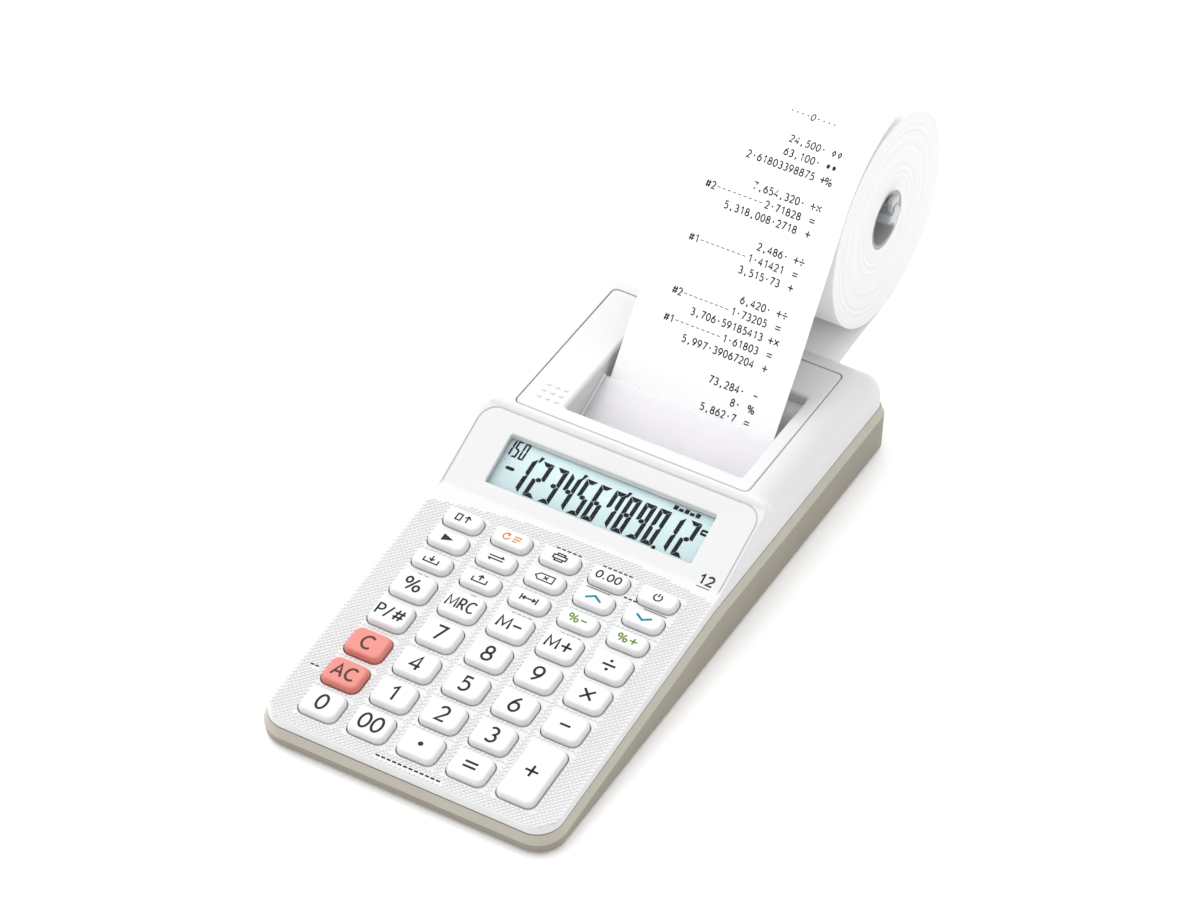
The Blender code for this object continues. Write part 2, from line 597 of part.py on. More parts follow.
def make_printer():
    """Frame, platen with its gear, sliding carriage, type drum, ink roller, motor and pinion."""
    left = PLATE_LEFT_X
    right = PLATE_RIGHT_X
    side = [(153.5 * MM, 2.3 * MM), (195 * MM, 2.3 * MM), (195 * MM, 12 * MM), (188 * MM, 22 * MM),
            (153.5 * MM, 22 * MM)]
    frame = plate("printer_frame", side, left - PLATE_THICK, left, "X", finish=STEEL)
    right_plate = plate("right_plate", side, right, right + PLATE_THICK, "X", cutter=True)
    combine(frame, right_plate, "UNION")
    base = block("base_plate", (left - PLATE_THICK, 158 * MM, 2.3 * MM),
                 (right + PLATE_THICK, 194 * MM, 3.4 * MM), cutter=True)
    combine(frame, base, "UNION")
    guide = rod("guide_shaft", 1.2 * MM, (left - 1 * MM, GUIDE_Y, GUIDE_Z),
                (right + 1 * MM, GUIDE_Y, GUIDE_Z), 12, cutter=True)
    combine(frame, guide, "UNION")
    axle_hole = rod("axle_hole", 1.8 * MM, (left - 5 * MM, PLATEN_Y, PLATEN_Z),
                    (right + 5 * MM, PLATEN_Y, PLATEN_Z), 16, cutter=True)
    shaft_hole = rod("shaft_hole", 2.0 * MM, (right - 5 * MM, MOTOR_Y, MOTOR_Z),
                     (right + 5 * MM, MOTOR_Y, MOTOR_Z), 16, cutter=True)
    combine(frame, merged("frame_bores", [axle_hole, shaft_hole], cutter=True), "DIFFERENCE")

    spacing = math.hypot(MOTOR_Y - PLATEN_Y, MOTOR_Z - PLATEN_Z)
    towards = math.atan2(MOTOR_Z - PLATEN_Z, MOTOR_Y - PLATEN_Y)
    share = spacing / (WHEEL_TEETH + PINION_TEETH)
    paper_left = PAPER_MID_X - PAPER_WIDTH / 2
    platen = rod("platen_roller", PLATEN_R, (paper_left, PLATEN_Y, PLATEN_Z),
                 (paper_left + PAPER_WIDTH, PLATEN_Y, PLATEN_Z), 28, finish=BLACK)
    axle = rod("platen_axle", 1.5 * MM, (left - 3 * MM, PLATEN_Y, PLATEN_Z),
               (right + PLATE_THICK + 5.5 * MM, PLATEN_Y, PLATEN_Z), 12, cutter=True)
    combine(platen, axle, "UNION")
    gear_x = right + PLATE_THICK + 1.0 * MM
    wheel_outline = gear_outline(share * WHEEL_TEETH, WHEEL_TEETH, towards)
    wheel = plate("platen_gear", wheel_outline, gear_x, gear_x + 3 * MM, "X",
                  location=(0, PLATEN_Y, PLATEN_Z), cutter=True)
    combine(platen, wheel, "UNION")

    gap_turn = math.pi / PINION_TEETH
    pinion_outline = gear_outline(share * PINION_TEETH, PINION_TEETH, towards + math.pi + gap_turn)
    pinion = plate("drive_gear", pinion_outline, 0, 3 * MM, "X", location=(gear_x, MOTOR_Y, MOTOR_Z),
                   finish=NYLON)
    shaft = rod("motor_shaft", 1.0 * MM, (right - 1.5 * MM, MOTOR_Y, MOTOR_Z),
                (gear_x + 2 * MM, MOTOR_Y, MOTOR_Z), 12, cutter=True)
    combine(pinion, shaft, "UNION")
    rod("printer_motor", MOTOR_R, (right - 26 * MM, MOTOR_Y, MOTOR_Z),
        (right - 2 * MM, MOTOR_Y, MOTOR_Z), 28, finish=STEEL)

    carriage_x = PAPER_MID_X - 21 * MM
    make_carriage(carriage_x)
    drum_half = 4.0 * MM
    for name, radius, y, z, finish in (("type_drum", DRUM_R, DRUM_Y, DRUM_Z, BLACK),
                                       ("ink_roller", INK_R, INK_Y, INK_Z, INK)):
        half_profile = [(0, 7 * MM), (0.8 * MM, 7 * MM), (0.8 * MM, drum_half),
                        (radius - 0.4 * MM, drum_half), (radius, drum_half - 0.4 * MM)]
        profile = half_profile + [(r, -along) for r, along in reversed(half_profile)]
        turned(name, profile, carriage_x, y, z, 20, finish=finish)


def make_carriage(x_mid):
    """Bracket that carries the type drum and ink roller along the guide shaft."""
    cheek = [(150.6 * MM, 8.7 * MM), (154.6 * MM, 8.7 * MM), (155.2 * MM, 5.9 * MM), (158.9 * MM, 5.9 * MM),
             (158.9 * MM, 9.6 * MM), (156.7 * MM, 12.5 * MM), (156.6 * MM, 18.4 * MM), (154.3 * MM, 19.4 * MM),
             (152.0 * MM, 18.0 * MM), (150.6 * MM, 12.0 * MM)]
    half_in = 4.8 * MM
    half_out = 6.2 * MM
    carriage = plate("print_carriage", cheek, half_in, half_out, "X", location=(x_mid, 0, 0), finish=BLACK)
    other = plate("left_cheek", cheek, -half_out, -half_in, "X", location=(x_mid, 0, 0), cutter=True)
    combine(carriage, other, "UNION")
    bridge = block("carriage_bridge", (-half_out + 0.2 * MM, 155.5 * MM, 6.1 * MM),
                   (half_out - 0.2 * MM, 158.7 * MM, 9.9 * MM), location=(x_mid, 0, 0), cutter=True)
    combine(carriage, bridge, "UNION")
    half_reach = 10 * MM
    bores = []
    for name, radius, y, z in (("shaft_bore", 1.55, GUIDE_Y, GUIDE_Z), ("drum_bore", 1.15, DRUM_Y, DRUM_Z),
                               ("ink_bore", 1.15, INK_Y, INK_Z)):
        bores.append(rod(name, radius * MM, (x_mid - half_reach, y, z), (x_mid + half_reach, y, z), 12,
                         cutter=True))
    combine(carriage, merged("carriage_bores", bores, cutter=True), "DIFFERENCE")


# ---------------------------------------------------------------- paper
def paper_path():
    """Side view of the continuous strip: off the roll, through the printer, out and over the roll."""
    clear = PAPER_THICK / 2 + 0.25 * MM
    platen_reach = PLATEN_R + clear
    path = [(ROLL_Y, ROLL_Z - ROLL_R - clear), (222 * MM, 27.6 * MM), (203.5 * MM, 26.3 * MM),
            (194 * MM, 22.6 * MM)]
    path += arc((PLATEN_Y, PLATEN_Z), platen_reach, -66, -175, 7)
    path += [(159.9 * MM, 20.6 * MM), (162.3 * MM, 24.9 * MM)]
    rise = [(165.4, 29.2), (172.6, 38.6), (180.1, 48.4), (187.4, 59.0), (194.2, 68.6), (199.6, 76.4)]
    path += [(y * MM, z * MM) for y, z in rise]
    for degrees, off_roll in ((152, 0.7), (142, 0.7), (132, 0.9), (122, 1.3), (112, 1.9), (101, 2.6),
                              (90, 3.4), (78, 4.6)):
        turn = math.radians(degrees)
        reach = ROLL_R + off_roll * MM
        path.append((ROLL_Y + reach * math.cos(turn), ROLL_Z + reach * math.sin(turn)))
    return path


def make_paper():
    """The strip as a thin ribbon, and the roll that it comes from."""
    path = [Vector(point) for point in paper_path()]
    half = PAPER_THICK / 2
    left_side = []
    right_side = []
    for i, point in enumerate(path):
        ahead = path[min(i + 1, len(path) - 1)]
        behind = path[max(i - 1, 0)]
        along = (ahead - behind).normalized()
        across = Vector((-along.y, along.x)) * half
        left_side.append(tuple(point + across))
        right_side.append(tuple(point - across))
    outline = left_side + right_side[::-1]
    reach = PAPER_WIDTH / 2
    plate("paper_strip", outline, PAPER_MID_X - reach, PAPER_MID_X + reach, "X", finish=PAPER)

    profile = [(BORE_R, reach), (ROLL_R, reach), (ROLL_R, -reach), (BORE_R, -reach)]
    turned("paper_roll", profile, PAPER_MID_X, ROLL_Y, ROLL_Z, 64, True, finish=PAPER)


def make_roll_holder():
    """Arm that plugs into the rear of the case, with the spindle that carries the roll."""
    spindle_z = ROLL_Z + SPINDLE_RISE
    y_out = CASE_LENGTH + 3 * MM
    half = ARM_WIDTH / 2
    lean = Vector((ROLL_Y - y_out, spindle_z - SOCKET_Z)).normalized()
    side = Vector((-lean.y, lean.x)) * half
    top = Vector((ROLL_Y, spindle_z))
    outline = [(CASE_LENGTH - 12 * MM, SOCKET_Z - 3 * MM), (y_out + 5 * MM, SOCKET_Z - 3 * MM),
               tuple(top - side), tuple(top + lean * half * 0.8 - side * 0.5),
               tuple(top + lean * half * 0.8 + side * 0.5),
               tuple(top + side), (y_out - 1.5 * MM, SOCKET_Z + 3 * MM),
               (CASE_LENGTH - 12 * MM, SOCKET_Z + 3 * MM)]
    x_low = ARM_X - ARM_THICK / 2
    x_high = ARM_X + ARM_THICK / 2
    holder = plate("roll_holder", outline, x_low, x_high, "X", finish=HOLDER)
    roll_right = PAPER_MID_X + PAPER_WIDTH / 2
    spindle = rod("spindle", SPINDLE_R, (x_high - 1 * MM, ROLL_Y, spindle_z),
                  (roll_right + 3.0 * MM, ROLL_Y, spindle_z), 24, cutter=True)
    combine(holder, spindle, "UNION")
    lip = block("spindle_lip", (roll_right + 0.8 * MM, ROLL_Y - 2.6 * MM, spindle_z),
                (roll_right + 2.6 * MM, ROLL_Y + 2.6 * MM, ROLL_Z + BORE_R + 1.6 * MM), cutter=True)
    combine(holder, lip, "UNION")


# ---------------------------------------------------------------- power
def make_power():
    """Four cells with their end contacts, the battery door and the adaptor jack."""
    end_y = CELL_Y + CELL_LENGTH
    offsets = [(i - 1.5) * CELL_PITCH for i in range(4)]
    cells = rod("battery_set", CELL_R, (offsets[0], CELL_Y, CELL_Z), (offsets[0], end_y, CELL_Z), 20,
                finish=CELL)
    for i, x in enumerate(offsets[1:]):
        combine(cells, rod(f"cell_{i}", CELL_R, (x, CELL_Y, CELL_Z), (x, end_y, CELL_Z), 20, cutter=True),
                "UNION")
    for i, y in enumerate((CELL_Y - 0.4 * MM, end_y - 0.1 * MM)):
        contact = block(f"contact_{i}", (offsets[0] - 3 * MM, y, CELL_Z - 3 * MM),
                        (offsets[3] + 3 * MM, y + 0.5 * MM, CELL_Z + 3 * MM), cutter=True)
        combine(cells, contact, "UNION")

    door = block("battery_cover", (-DOOR_HALF_X, DOOR_Y[0] - DOOR_Y[1], 0), (DOOR_HALF_X, 0, DOOR_THICK),
                 location=(0, DOOR_Y[1], 0), finish=BEIGE)
    latch = block("door_latch", (-6 * MM, -0.2 * MM, 0.3 * MM), (6 * MM, 1.6 * MM, 1.5 * MM), cutter=True,
                  location=(0, DOOR_Y[0], 0))
    combine(door, latch, "UNION")

    wall = -CASE_WIDTH / 2 + CASE_WALL + GAP
    jack = block("power_jack", (wall, JACK_Y - 4.5 * MM, JACK_Z - 5 * MM),
                 (wall + 11 * MM, JACK_Y + 4.5 * MM, JACK_Z + 5 * MM), finish=BLACK)
    mouth = rod("jack_mouth", 3.1 * MM, (wall - 1 * MM, JACK_Y, JACK_Z), (wall + 9 * MM, JACK_Y, JACK_Z),
                20, cutter=True)
    combine(jack, mouth, "DIFFERENCE")


make_lower_case()
make_top_case()
make_keys()
make_keyboard_parts()
make_display()
make_cover()
make_printer()
make_paper()
make_roll_holder()
make_power()
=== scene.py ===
"""Looks for the printing desk calculator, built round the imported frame.

Lengths are in millimetres in the case's own frame: x to the user's right, y back from the
case's front edge, z up from its underside.  `world` turns them into the row frame in metres.
"""

import math
import random

import bmesh
import bpy
from mathutils import Matrix, Vector
from mathutils.geometry import delaunay_2d_cdt

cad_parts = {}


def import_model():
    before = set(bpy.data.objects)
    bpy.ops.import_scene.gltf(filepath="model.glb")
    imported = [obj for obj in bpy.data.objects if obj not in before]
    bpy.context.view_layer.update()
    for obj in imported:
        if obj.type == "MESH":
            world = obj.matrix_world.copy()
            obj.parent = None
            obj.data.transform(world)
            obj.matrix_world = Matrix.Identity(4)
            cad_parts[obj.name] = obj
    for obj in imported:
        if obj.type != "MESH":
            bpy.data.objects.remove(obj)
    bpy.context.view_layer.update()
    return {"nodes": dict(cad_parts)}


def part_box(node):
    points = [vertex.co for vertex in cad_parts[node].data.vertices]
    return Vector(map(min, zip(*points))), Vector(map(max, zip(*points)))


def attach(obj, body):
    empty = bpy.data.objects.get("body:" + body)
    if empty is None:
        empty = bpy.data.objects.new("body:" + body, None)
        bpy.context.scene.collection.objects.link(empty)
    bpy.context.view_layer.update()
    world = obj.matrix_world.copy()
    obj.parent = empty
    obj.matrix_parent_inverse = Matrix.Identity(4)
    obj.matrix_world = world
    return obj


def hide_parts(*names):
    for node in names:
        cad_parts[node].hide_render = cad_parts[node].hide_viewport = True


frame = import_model()

MM = 0.001
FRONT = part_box("lower_case")[0].y
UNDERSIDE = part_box("battery_cover")[0].z

# ---------------------------------------------------------------- dimensions taken over from the frame, mm
TAN_KEYS = math.tan(math.radians(6.31))
SURFACE_Z0 = 9.1
PARTING_Z0 = 6.7
PARTING_TOP = 17.5
TAN_PANEL = 0.42
COS_PANEL = 0.922
PANEL_REF = (108.4, 22.5)
ROOF_Z = 33.2
TOP_REAR = 206.8
HALF_TOP = 49.7
HALF_CASE = 51.0
CASE_LENGTH = 209.0
KEY_PITCH = 16.92
KEY_MID_X = 0.26
KEY_WIDTH = 12.9
KEY_LENGTH = 10.2
SMALL_KEY_LENGTH = 6.8
KEY_ROWS = (92.3, 83.3, 74.0, 63.0, 50.5, 37.5, 24.7, 12.1)
KEY_PROUD = 1.9
KEY_GAP = 0.35
WINDOW = (72.0, 17.9, 116.7)
SEAT = (41.0, 134.1, 196.4)
SEAT_R = 2.0
SEAT_Z = 31.1
SLOT_X = (-25.8, 36.0)
SLOT_Y = (139.8, 181.6)
CUTTER_FOOT = (141.6, 18.3)
CUTTER_EDGE = (164.1, 28.6)
PAPER_X = 5.0
PAPER_WIDTH = 57.5
ROLL_Y, ROLL_Z, ROLL_R = 235.6, 64.3, 35.9
SPINDLE_Z = 67.7
KEYS = (
    ("feed_key", "reprint_key", "print_mode_key", "decimal_key", "off_key"),
    ("backspace_key", "exchange_key", "correct_key", "up_key", "down_key"),
    ("cost_key", "sell_key", "margin_key", "tax_minus_key", "tax_plus_key"),
    ("percent_key", "memory_recall_key", "memory_minus_key", "memory_plus_key", "divide_key"),
    ("paper_mark_key", "key_7", "key_8", "key_9", "multiply_key"),
    ("clear_key", "key_4", "key_5", "key_6", "minus_key"),
    ("all_clear_key", "key_1", "key_2", "key_3", None),
    ("key_0", "key_00", "point_key", "equals_key", None),
)


def world(point):
    """A point of the case's frame, in mm, as a vector of the row frame, in metres."""
    return Vector((point[0] * MM, point[1] * MM + FRONT, point[2] * MM + UNDERSIDE))


# ---------------------------------------------------------------- materials
class Finish:
    """A Principled material whose colour, roughness and relief come from noise in object space."""

    def __init__(self, name, rough, **sockets):
        self.material = bpy.data.materials.new(name)
        self.material.use_nodes = True
        self.tree = self.material.node_tree
        self.shader = self.tree.nodes["Principled BSDF"]
        self.shader.inputs["Roughness"].default_value = rough
        for socket, value in sockets.items():
            self.shader.inputs[socket.replace("_", " ")].default_value = value
        self.place = self.tree.nodes.new("ShaderNodeTexCoord").outputs["Object"]

    def node(self, kind, **values):
        made = self.tree.nodes.new(kind)
        for key, value in values.items():
            if key in made.inputs:
                made.inputs[key].default_value = value
            else:
                setattr(made, key, value)
        return made

    def link(self, output, socket):
        self.tree.links.new(output, socket)

    def stretched(self, scale):
        """Object coordinates scaled by a different amount along each axis."""
        mapping = self.node("ShaderNodeMapping")
        mapping.inputs["Scale"].default_value = scale
        self.link(self.place, mapping.inputs["Vector"])
        return mapping.outputs["Vector"]

    def noise(self, scale, detail=4.0, source=None, rough=0.55):
        made = self.node("ShaderNodeTexNoise", Scale=scale, Detail=detail, Roughness=rough)
        self.link(source or self.place, made.inputs["Vector"])
        return made.outputs["Fac"]

    def ramp(self, factor, stops):
        made = self.node("ShaderNodeValToRGB")
        elements = made.color_ramp.elements
        for element, (spot, colour) in zip(elements, stops):
            element.position = spot
            element.color = (*colour, 1.0)
        for spot, colour in stops[2:]:
            elements.new(spot).color = (*colour, 1.0)
        self.link(factor, made.inputs["Fac"])
        return made.outputs["Color"]

    def colour(self, factor, *stops):
        self.link(self.ramp(factor, stops), self.shader.inputs["Base Color"])

    def mottle(self, colour, spread, scale, detail=4.0, source=None):
        """The colour drifting lighter and darker by the given share."""
        dark = tuple(c * (1 - spread) for c in colour)
        light = tuple(min(c * (1 + spread), 1.0) for c in colour)
        self.colour(self.noise(scale, detail, source), (0.3, dark), (0.7, light))

    def vary_rough(self, low, high, scale):
        made = self.node("ShaderNodeMapRange")
        made.inputs["To Min"].default_value = low
        made.inputs["To Max"].default_value = high
        self.link(self.noise(scale), made.inputs["Value"])
        self.link(made.outputs["Result"], self.shader.inputs["Roughness"])

    def relief(self, factor, depth, strength=1.0):
        made = self.node("ShaderNodeBump")
        made.inputs["Strength"].default_value = strength
        made.inputs["Distance"].default_value = depth * MM
        self.link(factor, made.inputs["Height"])
        self.link(made.outputs["Normal"], self.shader.inputs["Normal"])


def moulded(name, colour, rough, spread=0.02, grain=0.02, **sockets):
    """Injection-moulded plastic: slow colour drift, spark-eroded grain, uneven gloss."""
    made = Finish(name, rough, **sockets)
    made.mottle(colour, spread, 42.0)
    made.vary_rough(rough - 0.05, rough + 0.06, 300.0)
    made.relief(made.noise(2600.0, 2.0), grain, 0.5)
    return made.material


def metal(name, colour, rough, along=(30, 900, 900)):
    """Sheet metal or wire with drawn scratches along one axis."""
    made = Finish(name, rough, Metallic=1.0)
    lines = made.stretched(along)
    made.mottle(colour, 0.10, 1.0, 6.0, lines)
    made.vary_rough(rough - 0.08, rough + 0.12, 500.0)
    made.relief(made.noise(1.0, 6.0, lines), 0.02, 0.4)
    return made.material


def paper_finish(name, colour, ringed=False):
    """Thin paper: fibres, and on the roll's faces the edges of its turns as fine rings."""
    made = Finish(name, 0.85)
    if ringed:
        away = made.node("ShaderNodeVectorMath", operation="SUBTRACT")
        away.inputs[1].default_value = world((PAPER_X, ROLL_Y, ROLL_Z))
        flat = made.node("ShaderNodeVectorMath", operation="MULTIPLY")
        flat.inputs[1].default_value = (0, 1, 1)
        reach = made.node("ShaderNodeVectorMath", operation="LENGTH")
        made.link(made.place, away.inputs[0])
        made.link(away.outputs[0], flat.inputs[0])
        made.link(flat.outputs[0], reach.inputs[0])
        rings = made.node("ShaderNodeTexNoise", noise_dimensions="1D", Scale=900.0, Detail=6.0)
        made.link(reach.outputs["Value"], rings.inputs["W"])
        low = tuple(c * 0.91 for c in colour)
        made.colour(rings.outputs["Fac"], (0.30, low), (0.62, colour))
        made.relief(rings.outputs["Fac"], 0.05, 0.35)
    else:
        fibres = made.stretched((500, 1400, 1400))
        made.mottle(colour, 0.012, 1.0, 5.0, fibres)
        made.relief(made.noise(1.0, 5.0, fibres), 0.012, 0.3)
    return made.material


def board_finish():
    """Green solder mask with copper runs showing through as a lighter green."""
    made = Finish("board_mask", 0.35, Coat_Weight=0.3)
    runs = made.node("ShaderNodeTexBrick", Scale=220.0, offset=0.5)
    runs.inputs["Mortar Size"].default_value = 0.06
    runs.inputs["Color1"].default_value = (0.02, 0.12, 0.04, 1)
    runs.inputs["Color2"].default_value = (0.03, 0.15, 0.05, 1)
    runs.inputs["Mortar"].default_value = (0.06, 0.30, 0.11, 1)
    made.link(made.place, runs.inputs["Vector"])
    made.link(runs.outputs["Color"], made.shader.inputs["Base Color"])
    made.relief(runs.outputs["Fac"], 0.04, 0.5)
    return made.material


def lcd_finish():
    """Reflective display: pale blue-green with the faint shimmer of its polariser."""
    made = Finish("lcd_face", 0.32)
    made.mottle((0.58, 0.735, 0.755), 0.02, 25.0)
    made.relief(made.noise(5200.0, 1.0), 0.006, 0.3)
    return made.material


def cutter_finish():
    """Milky lilac clear plastic that lets the print below show as grey."""
    made = Finish("cutter_plastic", 0.22, Alpha=0.50, Coat_Weight=0.2)
    made.mottle((0.93, 0.91, 0.945), 0.015, 60.0)
    made.vary_rough(0.12, 0.26, 400.0)
    made.relief(made.noise(900.0), 0.01, 0.3)
    return made.material


def window_finish():
    """Clear polished window: hardly any colour, sharp gloss."""
    made = Finish("window_plastic", 0.04, Alpha=0.03)
    made.mottle((0.20, 0.26, 0.27), 0.04, 20.0)
    made.vary_rough(0.03, 0.07, 150.0)
    return made.material


def ink(name, colour, spread=0.06, rough=0.55):
    """Matt printing ink, with hardly any gloss to lift its dark tones."""
    return moulded(name, colour, rough, spread, 0.004, Specular_IOR_Level=0.12)


WHITE = moulded("case_white", (0.635, 0.635, 0.642), 0.40, 0.008)
# lighter copy of the case white for the weave's bump tops: a painted highlight
WEAVE_PAINTED_LIGHT = moulded("woven_white_painted_light", (0.68, 0.68, 0.686), 0.36, 0.012)
# darker copy of the same white round the foot of each weave bump: painted shade in the valleys between bumps
WEAVE_PAINTED_SHADE = moulded("woven_white_painted_shade", (0.52, 0.52, 0.527), 0.45, 0.012)
COVER_WHITE = moulded("cover_white", (0.635, 0.635, 0.642), 0.34, 0.008)
BEIGE = moulded("case_beige", (0.243, 0.218, 0.171), 0.45, 0.03)
# lighter copy of the beige for the upward-facing chamfer: painted light on the faces that look up
BEIGE_PAINTED_LIGHT = moulded("case_beige_chamfer_painted_light", (0.405, 0.385, 0.322), 0.40, 0.03)
KEY_WHITE = moulded("key_white_plastic", (0.68, 0.68, 0.686), 0.30, 0.010, 0.012)
KEY_RED = moulded("key_salmon_plastic", (0.62, 0.185, 0.155), 0.32, 0.03, 0.012)
INK_DARK = ink("legend_dark", (0.022, 0.022, 0.018), 0.10)
INK_ORANGE = ink("legend_orange", (0.60, 0.19, 0.010))
INK_TEAL = ink("legend_teal", (0.0, 0.20, 0.29))
INK_GREEN = ink("legend_green", (0.12, 0.22, 0.006))
INK_RED = ink("legend_on_salmon", (0.085, 0.040, 0.032), 0.08)
INK_PRINT = ink("printed_ink", (0.008, 0.008, 0.010), 0.25, 0.7)
SEGMENT = moulded("lcd_segment", (0.004, 0.004, 0.005), 0.35, 0.10, 0.002, Specular_IOR_Level=0.05)
LCD = lcd_finish()
CUTTER = cutter_finish()
CLEAR = window_finish()
PAPER = paper_finish("paper_strip_stock", (0.92, 0.92, 0.922))
ROLL_SIDE = paper_finish("paper_roll_turns", (0.80, 0.80, 0.805), True)
CORE = moulded("core_grey", (0.30, 0.30, 0.31), 0.45, 0.05, 0.03)
HOLDER = moulded("holder_grey", (0.33, 0.34, 0.355), 0.16, 0.04, 0.01, Coat_Weight=0.6)
RUBBER = moulded("grey_rubber", (0.10, 0.10, 0.105), 0.85, 0.12, 0.05)
MAT = moulded("key_mat_silicone", (0.42, 0.43, 0.45), 0.75, 0.05, 0.04)
BLACK = moulded("black_moulding", (0.028, 0.028, 0.030), 0.45, 0.15, 0.03)
NYLON = moulded("gear_nylon", (0.78, 0.75, 0.66), 0.45, 0.05, 0.02)
FOAM = moulded("ink_foam_purple", (0.045, 0.018, 0.075), 0.95, 0.35, 0.25)
SLEEVE = moulded("cell_sleeve_blue", (0.06, 0.14, 0.30), 0.28, 0.12, 0.01, Coat_Weight=0.5)
SLEEVE_BAND = moulded("cell_sleeve_silver", (0.55, 0.56, 0.58), 0.30, 0.05, 0.01, Coat_Weight=0.5)
BOARD = board_finish()
STEEL = metal("sheet_steel", (0.60, 0.61, 0.63), 0.32)
STEEL_TURNED = metal("turned_steel", (0.66, 0.66, 0.67), 0.26, (900, 60, 60))
BRASS = metal("nickel_contact", (0.72, 0.66, 0.50), 0.24)


# ---------------------------------------------------------------- mesh tools
WELD = 0.0005
SLIVER = 0.0002


class Shape:
    """Points in mm, faces and their material numbers, made into one piece at the end."""

    def __init__(self):
        self.points = []
        self.faces = []
        self.kinds = []

    def ring(self, points):
        start = len(self.points)
        self.points.extend(tuple(p) for p in points)
        return list(range(start, len(self.points)))

    def face(self, corners, kind=0):
        self.faces.append(tuple(corners))
        self.kinds.append(kind)

    def skin(self, first, second, kind=0, closed=True):
        """Quads from one ring of points to the next."""
        count = len(first)
        for i in range(count if closed else count - 1):
            j = (i + 1) % count
            self.face((first[i], first[j], second[j], second[i]), kind)

    def loft(self, rings, kind=0, closed=True, caps=True, kinds=None):
        made = [self.ring(points) for points in rings]
        for i, (first, second) in enumerate(zip(made, made[1:])):
            self.skin(first, second, kinds[i] if kinds else kind, closed)
        if caps:
            self.face(reversed(made[0]), kinds[0] if kinds else kind)
            self.face(made[-1], kinds[-1] if kinds else kind)
        return made

    def torus(self, rings, kind=0):
        """Rings of points joined one to the next and the last to the first."""
        made = [self.ring(points) for points in rings]
        for first, second in zip(made, made[1:] + made[:1]):
            self.skin(first, second, kind)

    def slab(self, loop, *heights, kind=0):
        """A level outline joined through the given heights into a solid."""
        self.loft([[(x, y, z) for x, y in loop] for z in heights], kind)

    def prism(self, outline, lift, low, high, kind=0):
        """A flat outline raised into a thin solid; lift(u, v, h) places its points."""
        self.loft([[lift(u, v, low) for u, v in outline], [lift(u, v, high) for u, v in outline]], kind)

    def stroke(self, line, width, lift, low, high, kind=0, closed=False):
        """A ribbon of even width along a flat line, as a thin solid."""
        count = len(line)
        stations = []
        for i in range(count):
            here = Vector(line[i])
            ahead = Vector(line[(i + 1) % count if closed else min(i + 1, count - 1)])
            behind = Vector(line[i - 1] if closed else line[max(i - 1, 0)])
            coming = (here - behind).normalized() if here != behind else (ahead - here).normalized()
            going = (ahead - here).normalized() if ahead != here else coming
            mid = coming + going
            mid = mid.normalized() if mid.length > 0.1 else going
            reach = width / 2 / max(mid.dot(going), 0.55)
            side = Vector((-mid.y, mid.x)) * reach
            left, right = here + side, here - side
            stations.append([lift(left.x, left.y, low), lift(right.x, right.y, low),
                             lift(right.x, right.y, high), lift(left.x, left.y, high)])
        if closed:
            stations.append(stations[0])
        self.loft(stations, kind, True, not closed)

    def mesh(self, name):
        """The shape as mesh data in the row frame."""
        made = bpy.data.meshes.new(name)
        made.from_pydata([world(p) for p in self.points], [], self.faces)
        return made

    def build(self, name, body, finishes, replaces=(), slot=None, sharp=35, weighted=True):
        """Make the piece, put it on its body and hide the CAD nodes that it stands for."""
        mesh = self.mesh(name)
        for finish in finishes:
            mesh.materials.append(finish)
        mesh.polygons.foreach_set("material_index", self.kinds)
        bm = bmesh.new()
        bm.from_mesh(mesh)
        bmesh.ops.remove_doubles(bm, verts=bm.verts, dist=WELD * MM)
        bmesh.ops.dissolve_degenerate(bm, dist=SLIVER * MM, edges=bm.edges)
        bmesh.ops.recalc_face_normals(bm, faces=bm.faces)
        bm.to_mesh(mesh)
        bm.free()
        return finish_object(bpy.data.objects.new(name, mesh), body, replaces, sharp, weighted)


def finish_object(obj, body, replaces=(), sharp=35, weighted=True):
    """Shade a piece, hang it on its body and hide the CAD nodes that it stands for."""
    if obj.name not in bpy.context.scene.collection.objects:
        bpy.context.scene.collection.objects.link(obj)
    obj.data.shade_smooth()
    obj.data.set_sharp_from_angle(angle=math.radians(sharp))
    if weighted:
        normals = obj.modifiers.new("even_shading", "WEIGHTED_NORMAL")
        normals.mode = "FACE_AREA"
        normals.keep_sharp = True
    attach(obj, body)
    if replaces:
        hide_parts(*replaces)
    return obj


def bow(cx, cy, rx, ry, first, last, steps=12):
    """Points of an elliptical arc between two angles in degrees."""
    turns = [math.radians(first + (last - first) * i / steps) for i in range(steps + 1)]
    return [(cx + rx * math.cos(t), cy + ry * math.sin(t)) for t in turns]


def rounded(x0, x1, y0, y1, r, steps=5):
    """A rounded rectangle as a counter-clockwise loop that starts at its right rear corner."""
    loop = []
    left, right, near, far = x0 + r, x1 - r, y0 + r, y1 - r
    for cx, cy, turn in ((right, far, 0), (left, far, 90), (left, near, 180), (right, near, 270)):
        loop += bow(cx, cy, r, r, turn, turn + 90, steps)
    return loop


def shrinking(x0, x1, y0, y1, r, steps, levels, lift=None):
    """Rings of one rounded rectangle moved inwards by each level's inset, at each level's height."""
    rings = []
    for inset, z in levels:
        loop = rounded(x0 + inset, x1 - inset, y0 + inset, y1 - inset, r, steps)
        rings.append([lift(x, y, z) if lift else (x, y, z) for x, y in loop])
    return rings


def surface_z(y):
    """Height of the keyboard plane."""
    return SURFACE_Z0 + TAN_KEYS * y


def panel_z(y):
    """Height of the display panel's plane."""
    return PANEL_REF[1] + TAN_PANEL * (y - PANEL_REF[0])


